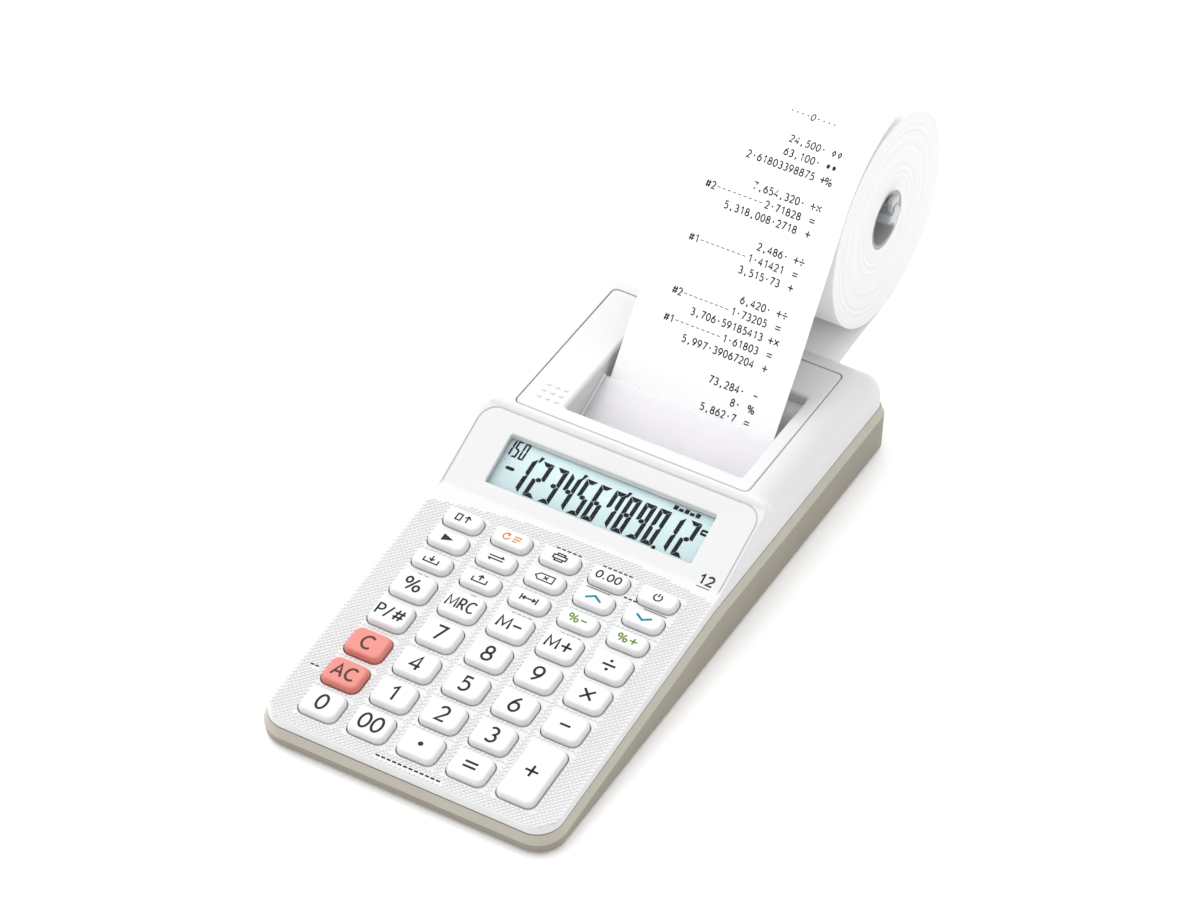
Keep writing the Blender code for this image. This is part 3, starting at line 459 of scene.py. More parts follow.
def parting_z(y):
    """Height of the seam between the white top and the beige bottom."""
    return min(PARTING_Z0 + TAN_KEYS * y, PARTING_TOP)


def circle(steps):
    """Cosine and sine of every step of a full turn."""
    turns = [2 * math.pi * i / steps for i in range(steps)]
    return [(math.cos(t), math.sin(t)) for t in turns]


def smooth(low, high, value):
    """0 below low, 1 above high, an S-curve between."""
    t = min(max((value - low) / (high - low), 0.0), 1.0)
    return t * t * (3 - 2 * t)


def key_places():
    """Name, x, y and length of every key."""
    places = []
    for row, names in enumerate(KEYS):
        for column, name in enumerate(names):
            if name:
                length = SMALL_KEY_LENGTH if row < 3 else KEY_LENGTH
                places.append((name, KEY_MID_X + (column - 2) * KEY_PITCH, KEY_ROWS[row], length))
    tall = KEY_ROWS[6] - KEY_ROWS[7]
    places.append(("plus_key", KEY_MID_X + 2 * KEY_PITCH, KEY_ROWS[7] + tall / 2, KEY_LENGTH + tall))
    return places


# ---------------------------------------------------------------- top case
TOP_FRONT = 1.3
TOP_FRONT_R = 8.2
TOP_REAR_R = 2.7
TOP_WALL = 1.8
REAR_REACH = 10.0
REAR_DROP = 11.0
INLET_X = (-25.3, 35.3)
INNER_ROOF = 30.0
PRINTER_OPENING = (-38.7, 39.7, 135.9, 192.2, 1.5)
GROOVE_X = 48.35
GROOVE_Y = 130.9
GROOVE_R = 5.5
GROOVE_DEEP = 0.5
GROOVE_FLANKS = (-0.30, -0.12, 0.12, 0.30)
KINK = (102.5, 103.35, 104.2)
ROOF_LIP = (131.5, 131.9, 132.4, 132.9, 133.4)
BAND = (0.0, 10.5, 22.5, 34.3, 45.0, 57.0, 68.0, 79.0, 90.0)


def top_z(y):
    """Side view of the white top, before its edges are rounded."""
    if y <= KINK[0]:
        return surface_z(y)
    if y < KINK[2]:
        t = (y - KINK[0]) / (KINK[2] - KINK[0])
        low, high = surface_z(KINK[0]), panel_z(KINK[2])
        start, end = TAN_KEYS * (KINK[2] - KINK[0]), TAN_PANEL * (KINK[2] - KINK[0])
        return ((2 * t**3 - 3 * t**2 + 1) * low + (t**3 - 2 * t**2 + t) * start
                + (3 * t**2 - 2 * t**3) * high + (t**3 - t**2) * end)
    if y <= GROOVE_Y + 0.3:
        return panel_z(y)
    lip = 2.2
    start = GROOVE_Y + 0.3
    if y < start + lip:
        t = (y - start) / lip
        return panel_z(start) + (ROOF_Z - panel_z(start)) * math.sin(t * math.pi / 2) ** 0.9
    return ROOF_Z


def groove_depth(x, y):
    """Depth of the fine groove that frames the display panel."""
    x = abs(x)
    centre_x, centre_y = GROOVE_X - GROOVE_R, GROOVE_Y - GROOVE_R
    if x > centre_x and y > centre_y:
        off = math.hypot(x - centre_x, y - centre_y) - GROOVE_R
    elif y > centre_y:
        off = y - GROOVE_Y
    else:
        off = x - GROOVE_X
    share = min(max((0.30 - abs(off)) / 0.18, 0.0), 1.0)
    return GROOVE_DEEP * share * smooth(101.5, 105.0, y)


def edge_round(y):
    """Width of the rounded edge along the case's side at this y."""
    return 1.2 - 0.5 * smooth(5, 12, y) + 7.7 * smooth(129.2, 137.0, y)


def top_outline():
    """The white top from above, and for each point where its rounded edge ends on the surface."""
    sides = (9.5, 30, 50, 70, 90, 96, 98, 101) + KINK + (
        108, 114, 120, 126, 129.2, 130.2, 130.6, 130.78, 131.02, 131.2) + ROOF_LIP + (
        134.1, 135, 136, 137, 145, 160, 175, 190, 196.8, 200, 202.5)
    front_r, rear_r, front = TOP_FRONT_R, TOP_REAR_R, TOP_FRONT
    points = []
    for y in sides:
        points.append((HALF_TOP, y))
    corner = (HALF_TOP - rear_r, TOP_REAR - rear_r)
    points += bow(*corner, rear_r, rear_r, 0, 90, 6)
    points += [(x, TOP_REAR) for x in (41.5, 35.25, 25, 15, 5, -5, -15, -25.25, -35, -41.5)]
    points += bow(-corner[0], corner[1], rear_r, rear_r, 90, 180, 6)
    points += [(-HALF_TOP, y) for y in reversed(sides)]
    points += bow(-HALF_TOP + front_r, front + front_r, front_r, front_r, 180, 270, 14)[1:]
    points += [(x, front) for x in (-28, -14, 0, 14, 28)]
    points += bow(HALF_TOP - front_r, front + front_r, front_r, front_r, 270, 360, 14)[:-1]
    ends = []
    rear = TOP_REAR - REAR_REACH
    for x, y in points:
        if y < front + front_r and abs(x) > HALF_TOP - front_r - 0.01:
            cx, cy = math.copysign(HALF_TOP - front_r, x), front + front_r
            keep = (front_r - edge_round(y)) / front_r
            ends.append((cx + (x - cx) * keep, cy + (y - cy) * keep))
        elif y < front + 0.01:
            ends.append((x, y + edge_round(y)))
        else:
            limit = HALF_TOP - edge_round(y)
            ends.append((min(max(x, -limit), limit), min(y, rear)))
    return points, ends


def inside_shell(x, y):
    """The matching point on the inner side of the wall."""
    wall = TOP_WALL
    x = min(max(x, -HALF_TOP + wall), HALF_TOP - wall)
    y = min(max(y, TOP_FRONT + wall), TOP_REAR - wall)
    for cx, cy, r in ((HALF_TOP - TOP_FRONT_R, TOP_FRONT + TOP_FRONT_R, TOP_FRONT_R),
                      (HALF_TOP - TOP_REAR_R, TOP_REAR - TOP_REAR_R, TOP_REAR_R)):
        sx = math.copysign(cx, x)
        if abs(x) > cx and (y - cy) * (1 if cy > 100 else -1) > 0:
            off = Vector((x - sx, y - cy))
            if off.length > r - wall:
                off = off.normalized() * (r - wall)
                x, y = sx + off.x, cy + off.y
    return x, y


def in_loop(x, y, loop):
    """Whether a point is inside a closed loop."""
    hit = False
    for (ax, ay), (bx, by) in zip(loop, loop[1:] + loop[:1]):
        if (ay > y) != (by > y) and x < (bx - ax) * (y - ay) / (by - ay) + ax:
            hit = not hit
    return hit


def make_top_case():
    """White shell: rounded edges, framed display panel, key holes, cover seat and paper inlet."""
    shape = Shape()
    outline, ends = top_outline()
    rings = [shape.ring((x, y, parting_z(y)) for x, y in outline)]
    for turn in BAND:
        cos, sin = math.cos(math.radians(turn)), math.sin(math.radians(turn))
        points = []
        for (x, y), (ex, ey) in zip(outline, ends):
            px, py = ex + (x - ex) * cos, ey + (y - ey) * cos
            side = edge_round(y) * 0.92
            rear = REAR_DROP * smooth(197.0, 206.0, y)
            points.append((px, py, top_z(py) - max(side, rear) * (1 - sin)))
        rings.append(shape.ring(points))
    first_at = {}
    rings[-1] = [first_at.setdefault(tuple(round(c, 6) for c in shape.points[i]), i) for i in rings[-1]]
    inlet = (BAND.index(10.5) + 1, BAND.index(34.3) + 1)
    for k, (first, second) in enumerate(zip(rings, rings[1:])):
        for i in range(len(outline)):
            j = (i + 1) % len(outline)
            rear = min(outline[i][1], outline[j][1]) > TOP_REAR - 0.01
            low_x, high_x = sorted((outline[i][0], outline[j][0]))
            across = low_x > INLET_X[0] and high_x < INLET_X[1]
            if inlet[0] <= k < inlet[1] and rear and across:
                continue
            if second[i] == second[j]:
                shape.face((first[i], first[j], second[i]))
            else:
                shape.face((first[i], first[j], second[j], second[i]))

    flat, edges, sunk = [], [], {}

    def add_loop(loop, depth=0.0, closed=True):
        start = len(flat)
        flat.extend(Vector(p) for p in loop)
        count = len(loop)
        edges.extend((start + i, start + (i + 1) % count) for i in range(count if closed else count - 1))
        for i in range(start, start + count):
            sunk[i] = depth
        return start

    add_loop(ends)
    holes = []

    def add_hole(x0, x1, y0, y1, r, edge, depth, steps=5):
        """A hole with a small chamfer of the given width and depth round it."""
        add_loop(rounded(x0 - edge, x1 + edge, y0 - edge, y1 + edge, r + edge, steps))
        hole = rounded(x0, x1, y0, y1, r, steps)
        holes.append(hole)
        return add_loop(hole, depth)

    for _, x, y, length in key_places():
        half_x, half_y = KEY_WIDTH / 2 + KEY_GAP, length / 2 + KEY_GAP
        add_hole(x - half_x, x + half_x, y - half_y, y + half_y, 2.95, 0.3, 0.16)
    half_w, half_l = WINDOW[0] / 2, WINDOW[1] / 2 * COS_PANEL
    add_hole(-half_w, half_w, WINDOW[2] - half_l, WINDOW[2] + half_l, 0.8, 0.35, 0.2, 3)
    seat_start = add_hole(-SEAT[0], SEAT[0], SEAT[1], SEAT[2], SEAT_R, 0.12, 0.2)
    seat = holes[-1]
    for off in GROOVE_FLANKS:
        gx, gy, gr = GROOVE_X + off, GROOVE_Y + off, GROOVE_R + off
        line = [(gx, 101.5), (gx, 105.0), (gx, 115.0)] + bow(gx - gr, gy - gr, gr, gr, 0, 90, 8)
        line += [(-x, y) for x, y in reversed(line)]
        add_loop(line, 0.0, False)
    for y in KINK + ROOF_LIP:
        pair = [i for i, p in enumerate(outline) if abs(p[1] - y) < 1e-6]
        edges.append((pair[0], pair[1]))
    verts, _, tris, origin, _, _ = delaunay_2d_cdt(flat, edges, [], 0, 1e-5)
    known = {}
    index = []
    for i, vert in enumerate(verts):
        depth = max([sunk.get(o, 0.0) for o in origin[i]] or [0.0])
        z = top_z(vert.y) - groove_depth(vert.x, vert.y) - depth
        shared = [o for o in origin[i] if o < len(ends)]
        if shared:
            index.append(rings[-1][shared[0]])
        else:
            index.append(shape.ring([(vert.x, vert.y, z)])[0])
        for o in origin[i]:
            known[o] = index[-1]
    for tri in tris:
        middle = sum((verts[i] for i in tri), Vector((0, 0))) / len(tri)
        if in_loop(middle.x, middle.y, ends) and not any(in_loop(middle.x, middle.y, h) for h in holes):
            shape.face([index[i] for i in tri])

    seat_top = [known[seat_start + i] for i in range(len(seat))]
    seat_low = shape.ring((x, y, SEAT_Z) for x, y in seat)
    opening = shape.ring((x, y, SEAT_Z) for x, y in rounded(*PRINTER_OPENING))
    shape.skin(seat_top, seat_low)
    shape.skin(seat_low, opening)

    outer_faces = list(shape.faces)
    count = len(shape.points)
    low_set = set(rings[0])
    for i in range(count):
        x, y, z = shape.points[i]
        ix, iy = inside_shell(x, y)
        if i in low_set:
            inner_z = z
        else:
            inner_z = max(min(z - TOP_WALL, INNER_ROOF), parting_z(y) + 0.02)
        shape.points.append((ix, iy, inner_z))
    used = {}
    for face in outer_faces:
        for a, b in zip(face, face[1:] + face[:1]):
            key = (min(a, b), max(a, b))
            used[key] = (a, b) if key not in used else None
        shape.face([i + count for i in reversed(face)])
    for pair in used.values():
        if pair:
            a, b = pair
            shape.face((b, a, a + count, b + count))
    return shape.build("top_case_shell", "case", [WHITE], ["top_case"], "white_plastic", 32)


def make_weave():
    """The keyboard's woven relief: rows of small oval bumps, each row shifted by half a pitch, with painted
    shade round each bump's foot and a painted highlight on its top.
    """
    shape = Shape()
    pitch_x, pitch_y = 1.58, 0.80
    margin = 0.95
    clear = [(x, y, KEY_WIDTH / 2 + margin, length / 2 + margin) for _, x, y, length in key_places()]
    clear += [(x, y, w + 0.3, h + 0.3) for x, y, w, h in CASE_MARKS]
    row = 0
    y = 2.6
    while y < 103:
        x = -48.9 + (row % 2) * pitch_x / 2
        while x < 49.0:
            edge = 96.2 + 6.0 * (1 - ((x - 8) / 56) ** 2)
            corner = math.hypot(max(abs(x) - 41.5, 0), max(9.5 - y, 0))
            free = all(abs(x - cx) > w or abs(y - cy) > h for cx, cy, w, h in clear)
            if y < edge and corner < 7.45 and free and abs(x) < 48.75:
                rings = []
                for grow, rise in ((1.14, -0.05), (1.12, 0.005), (0.88, 0.07), (0.78, 0.16), (0.45, 0.24)):
                    loop = bow(x, y, 0.70 * grow, 0.385 * grow, 0, 360, 8)[:-1]
                    rings.append([(u, v, surface_z(v) + rise) for u, v in loop])
                # the two outer bands of each bump take the painted shade, the inner bands and the tip the
                # painted highlight
                made = shape.loft(rings, caps=False, kinds=[1, 1, 0, 0])
                shape.face(reversed(made[0]))
                tip = shape.ring([(x, y, surface_z(y) + 0.27)])[0]
                for a, b in zip(made[-1], made[-1][1:] + made[-1][:1]):
                    shape.face((a, b, tip))
            x += pitch_x
        y += pitch_y
        row += 1
    return shape.build("keyboard_weave", "case", [WEAVE_PAINTED_LIGHT, WEAVE_PAINTED_SHADE], (), "white_plastic", 70, False)


# ---------------------------------------------------------------- printed marks
def glyph(char):
    """Centre lines of a numeral or sign in a box one unit tall, and its width."""
    lines = {
        "0": ([bow(0.31, 0.5, 0.31, 0.5, 90, 450, 20)], 0.62),
        "1": ([[(0.04, 0.78), (0.32, 1.0), (0.32, 0.0)]], 0.45),
        "2": ([bow(0.29, 0.71, 0.28, 0.29, 160, -38, 10) + [(0.02, 0.0), (0.60, 0.0)]], 0.60),
        "3": ([bow(0.26, 0.75, 0.27, 0.25, 145, -75, 9) + bow(0.27, 0.26, 0.31, 0.27, 75, -145, 10)], 0.58),
        "4": ([[(0.48, 0.0), (0.48, 1.0), (0.0, 0.29), (0.66, 0.29)]], 0.66),
        "5": ([[(0.55, 1.0), (0.13, 1.0), (0.09, 0.57)] + bow(0.27, 0.33, 0.32, 0.33, 118, -140, 12)], 0.60),
        "6": ([[(0.50, 1.0), (0.28, 0.83), (0.12, 0.62)] + bow(0.32, 0.31, 0.30, 0.31, 155, 515, 20)], 0.62),
        "7": ([[(0.0, 1.0), (0.60, 1.0), (0.19, 0.0)]], 0.60),
        "8": ([bow(0.31, 0.755, 0.235, 0.245, -90, 270, 16), bow(0.31, 0.26, 0.30, 0.26, 90, 450, 18)], 0.62),
        "9": ([[(0.12, 0.0), (0.34, 0.17), (0.50, 0.38)] + bow(0.30, 0.69, 0.30, 0.31, -25, 335, 20)], 0.62),
        "%": ([bow(0.20, 0.76, 0.20, 0.24, 0, 360, 12), bow(0.94, 0.24, 0.20, 0.24, 0, 360, 12),
               [(0.84, 1.0), (0.30, 0.0)]], 1.14),
        "C": ([bow(0.42, 0.5, 0.42, 0.5, 48, 312, 18)], 0.76),
        "A": ([[(0.0, 0.0), (0.37, 1.0), (0.74, 0.0)], [(0.14, 0.34), (0.60, 0.34)]], 0.74),
        "M": ([[(0.0, 0.0), (0.07, 1.0), (0.49, 0.20), (0.91, 1.0), (0.98, 0.0)]], 0.98),
        "R": ([[(0.0, 0.0), (0.0, 1.0), (0.26, 1.0)] + bow(0.26, 0.74, 0.27, 0.26, 90, -90, 8)
               + [(0.0, 0.48)], [(0.27, 0.48), (0.58, 0.0)]], 0.58),
        "P": ([[(0.0, 0.0), (0.0, 1.0), (0.25, 1.0)] + bow(0.25, 0.73, 0.27, 0.27, 90, -90, 8)
               + [(0.0, 0.46)]], 0.52),
        "/": ([[(0.0, -0.06), (0.42, 1.06)]], 0.42),
        "#": ([[(0.16, 0.0), (0.34, 1.0)], [(0.54, 0.0), (0.72, 1.0)], [(0.0, 0.30), (0.84, 0.30)],
               [(0.05, 0.68), (0.89, 0.68)]], 0.89),
        "+": ([[(0.0, 0.5), (0.9, 0.5)], [(0.45, 0.05), (0.45, 0.95)]], 0.90),
        "-": ([[(0.0, 0.5), (0.72, 0.5)]], 0.72),
        "x": ([[(0.05, 0.12), (0.81, 0.88)], [(0.05, 0.88), (0.81, 0.12)]], 0.86),
        "=": ([[(0.0, 0.68), (0.9, 0.68)], [(0.0, 0.32), (0.9, 0.32)]], 0.90),
        ":": ([[(0.0, 0.5), (0.9, 0.5)], (0.45, 0.86), (0.45, 0.14)], 0.90),
        ".": ([(0.1, 0.06)], 0.2),
        "'": ([(0.1, 0.5)], 0.2),
        ",": ([(0.1, 0.06), [(0.12, 0.0), (0.02, -0.18)]], 0.2),
        "*": ([[(0.3, 0.15), (0.3, 0.85)], [(0.0, 0.32), (0.6, 0.68)], [(0.0, 0.68), (0.6, 0.32)]], 0.60),
        "o": ([[(0.3, 0.9), (0.55, 0.5), (0.3, 0.1), (0.05, 0.5), (0.3, 0.9)]], 0.60),
        " ": ([], 0.5),
    }
    return lines[char]


def write(shape, text, centre, height, width, lift, low, high, kind, gap=0.16, squeeze=1.0, dot=0.10):
    """Draw a row of signs centred on a spot, as thin solids."""
    tall = height - width
    wide = tall * squeeze
    clear = gap * height + width
    advance = [glyph(c)[1] * wide for c in text]
    total = sum(advance) + clear * (len(text) - 1)
    u = centre[0] - total / 2
    v = centre[1] - tall / 2
    for char, step in zip(text, advance):
        for line in glyph(char)[0]:
            if isinstance(line, tuple):
                spot = (u + line[0] * wide, v + line[1] * tall)
                shape.prism(bow(*spot, dot * height, dot * height, 0, 360, 12)[:-1], lift, low, high, kind)
            else:
                points = [(u + a * wide, v + b * tall) for a, b in line]
                closed = len(points) > 9 and math.dist(points[0], points[-1]) < 0.02 * height
                shape.stroke(points[:-1] if closed else points, width, lift, low, high, kind, closed)
        u += step + clear


# pen width and lines of each small icon
ICONS = {
    "feed": (0.50, [[(-2.3, -1.2), (-2.3, 1.2), (-0.7, 1.2), (-0.7, -1.2), (-2.3, -1.2)],
                    [(1.4, -1.3), (1.4, 1.3)], [(0.4, 0.3), (1.4, 1.3), (2.4, 0.3)]]),
    "again": (0.50, [bow(-1.6, 0.0, 1.15, 1.15, 60, 350, 14), [(-1.75, 1.35), (-0.95, 1.0), (-1.3, 0.2)],
                     [(0.7, 0.95), (3.2, 0.95)], [(0.7, 0.0), (3.2, 0.0)], [(0.7, -0.95), (2.3, -0.95)]]),
    "printer": (0.50, [[(-2.2, -0.7), (-2.2, 0.6), (2.2, 0.6), (2.2, -0.7), (-2.2, -0.7)],
                       [(-1.3, 0.6), (-1.3, 1.4), (1.3, 1.4), (1.3, 0.6)],
                       [(-1.3, -0.7), (-1.3, -1.5), (1.3, -1.5), (1.3, -0.7)]]),
    "power": (0.50, [bow(0.0, -0.1, 1.3, 1.3, 125, 415, 18), [(0.0, 0.1), (0.0, 1.5)]]),
    "swap": (0.50, [[(-2.6, 0.55), (2.3, 0.55)], [(1.5, 1.25), (2.4, 0.55), (1.5, 0.55)],
                    [(2.6, -0.55), (-2.3, -0.55)], [(-1.5, -1.25), (-2.4, -0.55), (-1.5, -0.55)]]),
    "correct": (0.46, [[(-3.2, 0.0), (-1.9, 1.25), (3.0, 1.25), (3.0, -1.25), (-1.9, -1.25), (-3.2, 0.0)],
                       [(-0.3, 0.6), (1.1, -0.6)], [(-0.3, -0.6), (1.1, 0.6)]]),
    "cost": (0.50, [[(-2.4, 0.3), (-2.4, -1.3), (2.4, -1.3), (2.4, 0.3)], [(0.0, 1.5), (0.0, -0.5)],
                    [(-0.9, 0.3), (0.0, -0.55), (0.9, 0.3)]]),
    "sell": (0.50, [[(-2.4, 0.3), (-2.4, -1.3), (2.4, -1.3), (2.4, 0.3)], [(0.0, -0.6), (0.0, 1.4)],
                    [(-0.9, 0.6), (0.0, 1.45), (0.9, 0.6)]]),
    "margin": (0.50, [[(-2.7, 1.2), (-2.7, -1.2)], [(2.7, 1.2), (2.7, -1.2)], [(-2.0, 0.0), (2.0, 0.0)],
                      [(-1.3, 0.7), (-2.1, 0.0), (-1.3, -0.7)], [(1.3, 0.7), (2.1, 0.0), (1.3, -0.7)]]),
    "up": (0.78, [[(-2.6, -0.75), (0.0, 0.85), (2.6, -0.75)]]),
    "down": (0.78, [[(-2.6, 0.75), (0.0, -0.85), (2.6, 0.75)]]),
}

LEGENDS = {
    "feed_key": ("feed", INK_DARK), "reprint_key": ("again", INK_ORANGE),
    "print_mode_key": ("printer", INK_DARK), "decimal_key": ("0.00", INK_DARK),
    "off_key": ("power", INK_DARK), "backspace_key": ("play", INK_DARK), "exchange_key": ("swap", INK_DARK),
    "correct_key": ("correct", INK_DARK), "up_key": ("up", INK_TEAL), "down_key": ("down", INK_TEAL),
    "cost_key": ("cost", INK_DARK), "sell_key": ("sell", INK_DARK), "margin_key": ("margin", INK_DARK),
    "tax_minus_key": ("%-", INK_GREEN), "tax_plus_key": ("%+", INK_GREEN),
    "percent_key": ("%", INK_DARK), "memory_recall_key": ("MRC", INK_DARK),
    "memory_minus_key": ("M-", INK_DARK), "memory_plus_key": ("M+", INK_DARK),
    "divide_key": (":", INK_DARK), "paper_mark_key": ("P/#", INK_DARK), "multiply_key": ("x", INK_DARK),
    "minus_key": ("-", INK_DARK), "clear_key": ("C", INK_RED), "all_clear_key": ("AC", INK_RED),
    "key_00": ("00", INK_DARK), "point_key": ("'", INK_DARK), "equals_key": ("=", INK_DARK),
    "plus_key": ("+", INK_DARK),
}


# height, pen width, gap and squeeze of each kind of legend
LETTERING = {
    "small": (3.2, 0.54, 0.06, 1.08), "digit": (6.1, 0.82, 0.06, 0.94), "pair": (4.9, 0.76, 0.06, 0.95),
    "sign": (5.6, 0.80, 0.16, 1.0), "AC": (5.3, 0.80, 0.06, 0.95), "MRC": (4.7, 0.66, 0.06, 0.80),
    "P/#": (4.7, 0.66, 0.06, 1.0), "C": (5.5, 0.80, 0.16, 1.0), "%": (5.4, 0.72, 0.16, 1.0),
}
LEGEND_LAYER = (-0.06, 0.03)


def make_keys():
    """Each key: a pillowed cap on its flange, with its legend as a thin printed layer."""
    profile = ((-0.8, -2.8), (-0.8, -2.1), (0.0, -2.1), (0.0, 0.0), (0.05, 0.45), (0.22, 1.05), (0.46, 1.50),
               (0.62, 1.66), (0.80, 1.77), (1.02, 1.845), (1.32, 1.885), (1.75, KEY_PROUD))
    tilt = Matrix.Rotation(math.atan(TAN_KEYS), 3, "X")
    for name, x, y, length in key_places():
        spot = Vector((x, y, surface_z(y)))

        def lift(u, v, h, spot=spot):
            return spot + tilt @ Vector((u, v, KEY_PROUD + h))

        shape = Shape()
        rings = []
        for inset, z in profile:
            half_x, half_y = KEY_WIDTH / 2 - inset, length / 2 - inset
            r = max(2.6 - inset * 0.95, 0.6)
            loop = rounded(-half_x, half_x, -half_y, half_y, min(r, half_y * 0.95), 6)
            rings.append([lift(u, v, z - KEY_PROUD) for u, v in loop])
        shape.loft(rings)
        small = length == SMALL_KEY_LENGTH
        text, ink = LEGENDS.get(name, (name[-1], INK_DARK))
        if text in ICONS:
            width, lines = ICONS[text]
            for line in lines:
                closed = math.dist(line[0], line[-1]) < 0.01
                shape.stroke(line[:-1] if closed else line, width, lift, *LEGEND_LAYER, 1, closed)
        elif text == "play":
            shape.prism([(-1.9, -1.4), (1.9, 0.0), (-1.9, 1.4)], lift, *LEGEND_LAYER, 1)
        elif text == "'":
            shape.prism(bow(0, 0, 0.85, 0.85, 0, 360, 20)[:-1], lift, *LEGEND_LAYER, 1)
        else:
            kind = "small" if small else "digit" if text.isdigit() else text
            if kind not in LETTERING:
                kind = "pair" if len(text) > 1 else "sign"
            tall, pen, gap, squeeze = LETTERING[kind]
            write(shape, text, (0, 0), tall, pen, lift, *LEGEND_LAYER, 1, gap, squeeze)
        salmon = name in ("clear_key", "all_clear_key")
        shape.build(name + "_cap", name + "_cap", [KEY_RED if salmon else KEY_WHITE, ink], [name],
                    "key_salmon" if salmon else "key_white", 38)


# centre x, centre y, half width and half height of the plain marks printed on the case
CASE_MARKS = (
    (1.0, 96.9, 4.6, 0.45), (17.8, 96.9, 5.4, 0.45), (16.1, 87.85, 4.1, 0.25), (35.5, 87.85, 3.9, 0.25),
    (26.5, 89.1, 2.4, 0.5), (-33.2, 68.6, 2.1, 0.45), (-16.0, 68.6, 1.0, 0.45), (1.0, 68.6, 3.6, 0.45),
    (17.9, 68.6, 3.6, 0.45), (-43.8, 24.2, 1.6, 0.5), (1.0, 3.9, 11.2, 0.55),
)


def make_case_marks():
    """Plain dashes where the case carries small print, and the count of digits by the display."""
    shape = Shape()

    def lift(u, v, h):
        return (u, v, top_z(v) + h)

    for x, y, half_x, half_y in CASE_MARKS:
        bars = 1 if half_y < 0.3 else max(1, round(half_x / 0.95))
        step = 2 * half_x / bars
        wide = step * (0.72 if bars > 1 else 1.0)
        tall = half_y * 0.55
        for i in range(bars):
            start = x - half_x + i * step
            end = start + wide
            shape.prism([(start, y - tall), (end, y - tall), (end, y + tall), (start, y + tall)],
                        lift, -0.10, 0.04)
    write(shape, "12", (43.1, 105.6), 3.4, 0.62, lift, -0.10, 0.03, 0, 0.10, 1.25)
    shape.prism([(40.9, 102.95), (45.4, 102.95), (45.4, 103.25), (40.9, 103.25)], lift, -0.10, 0.03)
    return shape.build("case_printing", "case", [INK_DARK], (), None, 35, False)


# ---------------------------------------------------------------- display
PANEL_TILT = math.atan(TAN_PANEL)


def panel_lift(depth):
    """Placement on the panel's plane: u across, v up the slope from its lower edge, h out of it."""
    along = Vector((0, math.cos(PANEL_TILT), math.sin(PANEL_TILT)))
    out = Vector((0, -math.sin(PANEL_TILT), math.cos(PANEL_TILT)))
    start = Vector((0, *PANEL_REF))

    def lift(u, v, h):
        return start + Vector((u, 0, 0)) + along * v + out * (h - depth)

    return lift


SEGMENT_GAP = 0.06
SEGMENTS = {
    "0": "abcdef", "1": "bc", "2": "abged", "3": "abgcd", "4": "fgbc", "5": "afgcd", "6": "afgedc",
    "7": "abcf", "8": "abcdefg", "9": "abcdfg",
}


def digit_outlines(char, tall, wide, thick):
    """Outlines of the lit segments of a seven-segment digit whose lower left corner is at 0, 0."""
    gap = thick * SEGMENT_GAP
    mid = tall / 2
    half = thick / 2

    def bar(y, edge):
        if edge == "mid":
            return [(thick * 0.62 + gap, y), (thick + gap, y + half), (wide - thick - gap, y + half),
                    (wide - thick * 0.62 - gap, y), (wide - thick - gap, y - half), (thick + gap, y - half)]
        sign = 1 if edge == "top" else -1
        return [(gap, y), (wide - gap, y), (wide - thick - gap, y - sign * thick),
                (thick + gap, y - sign * thick)]

    def post(x, y0, y1, side, upper):
        sign = 1 if side == "left" else -1
        outer0 = (x, y0 + gap)
        outer1 = (x, y1 - gap)
        if upper:
            return [outer0, (x + sign * half, y0 + gap * 0.5), (x + sign * thick, y0 + half + gap),
                    (x + sign * thick, y1 - thick - gap), outer1]
        return [outer0, (x + sign * thick, y0 + thick + gap), (x + sign * thick, y1 - half - gap),
                (x + sign * half, y1 - gap * 0.5), outer1]

    shapes = {
        "a": bar(tall, "top"), "d": bar(0.0, "low"), "g": bar(mid, "mid"),
        "f": post(0.0, mid, tall, "left", True), "e": post(0.0, 0.0, mid, "left", False),
        "b": post(wide, mid, tall, "right", True), "c": post(wide, 0.0, mid, "right", False),
    }
    return [shapes[s] for s in SEGMENTS[char]]


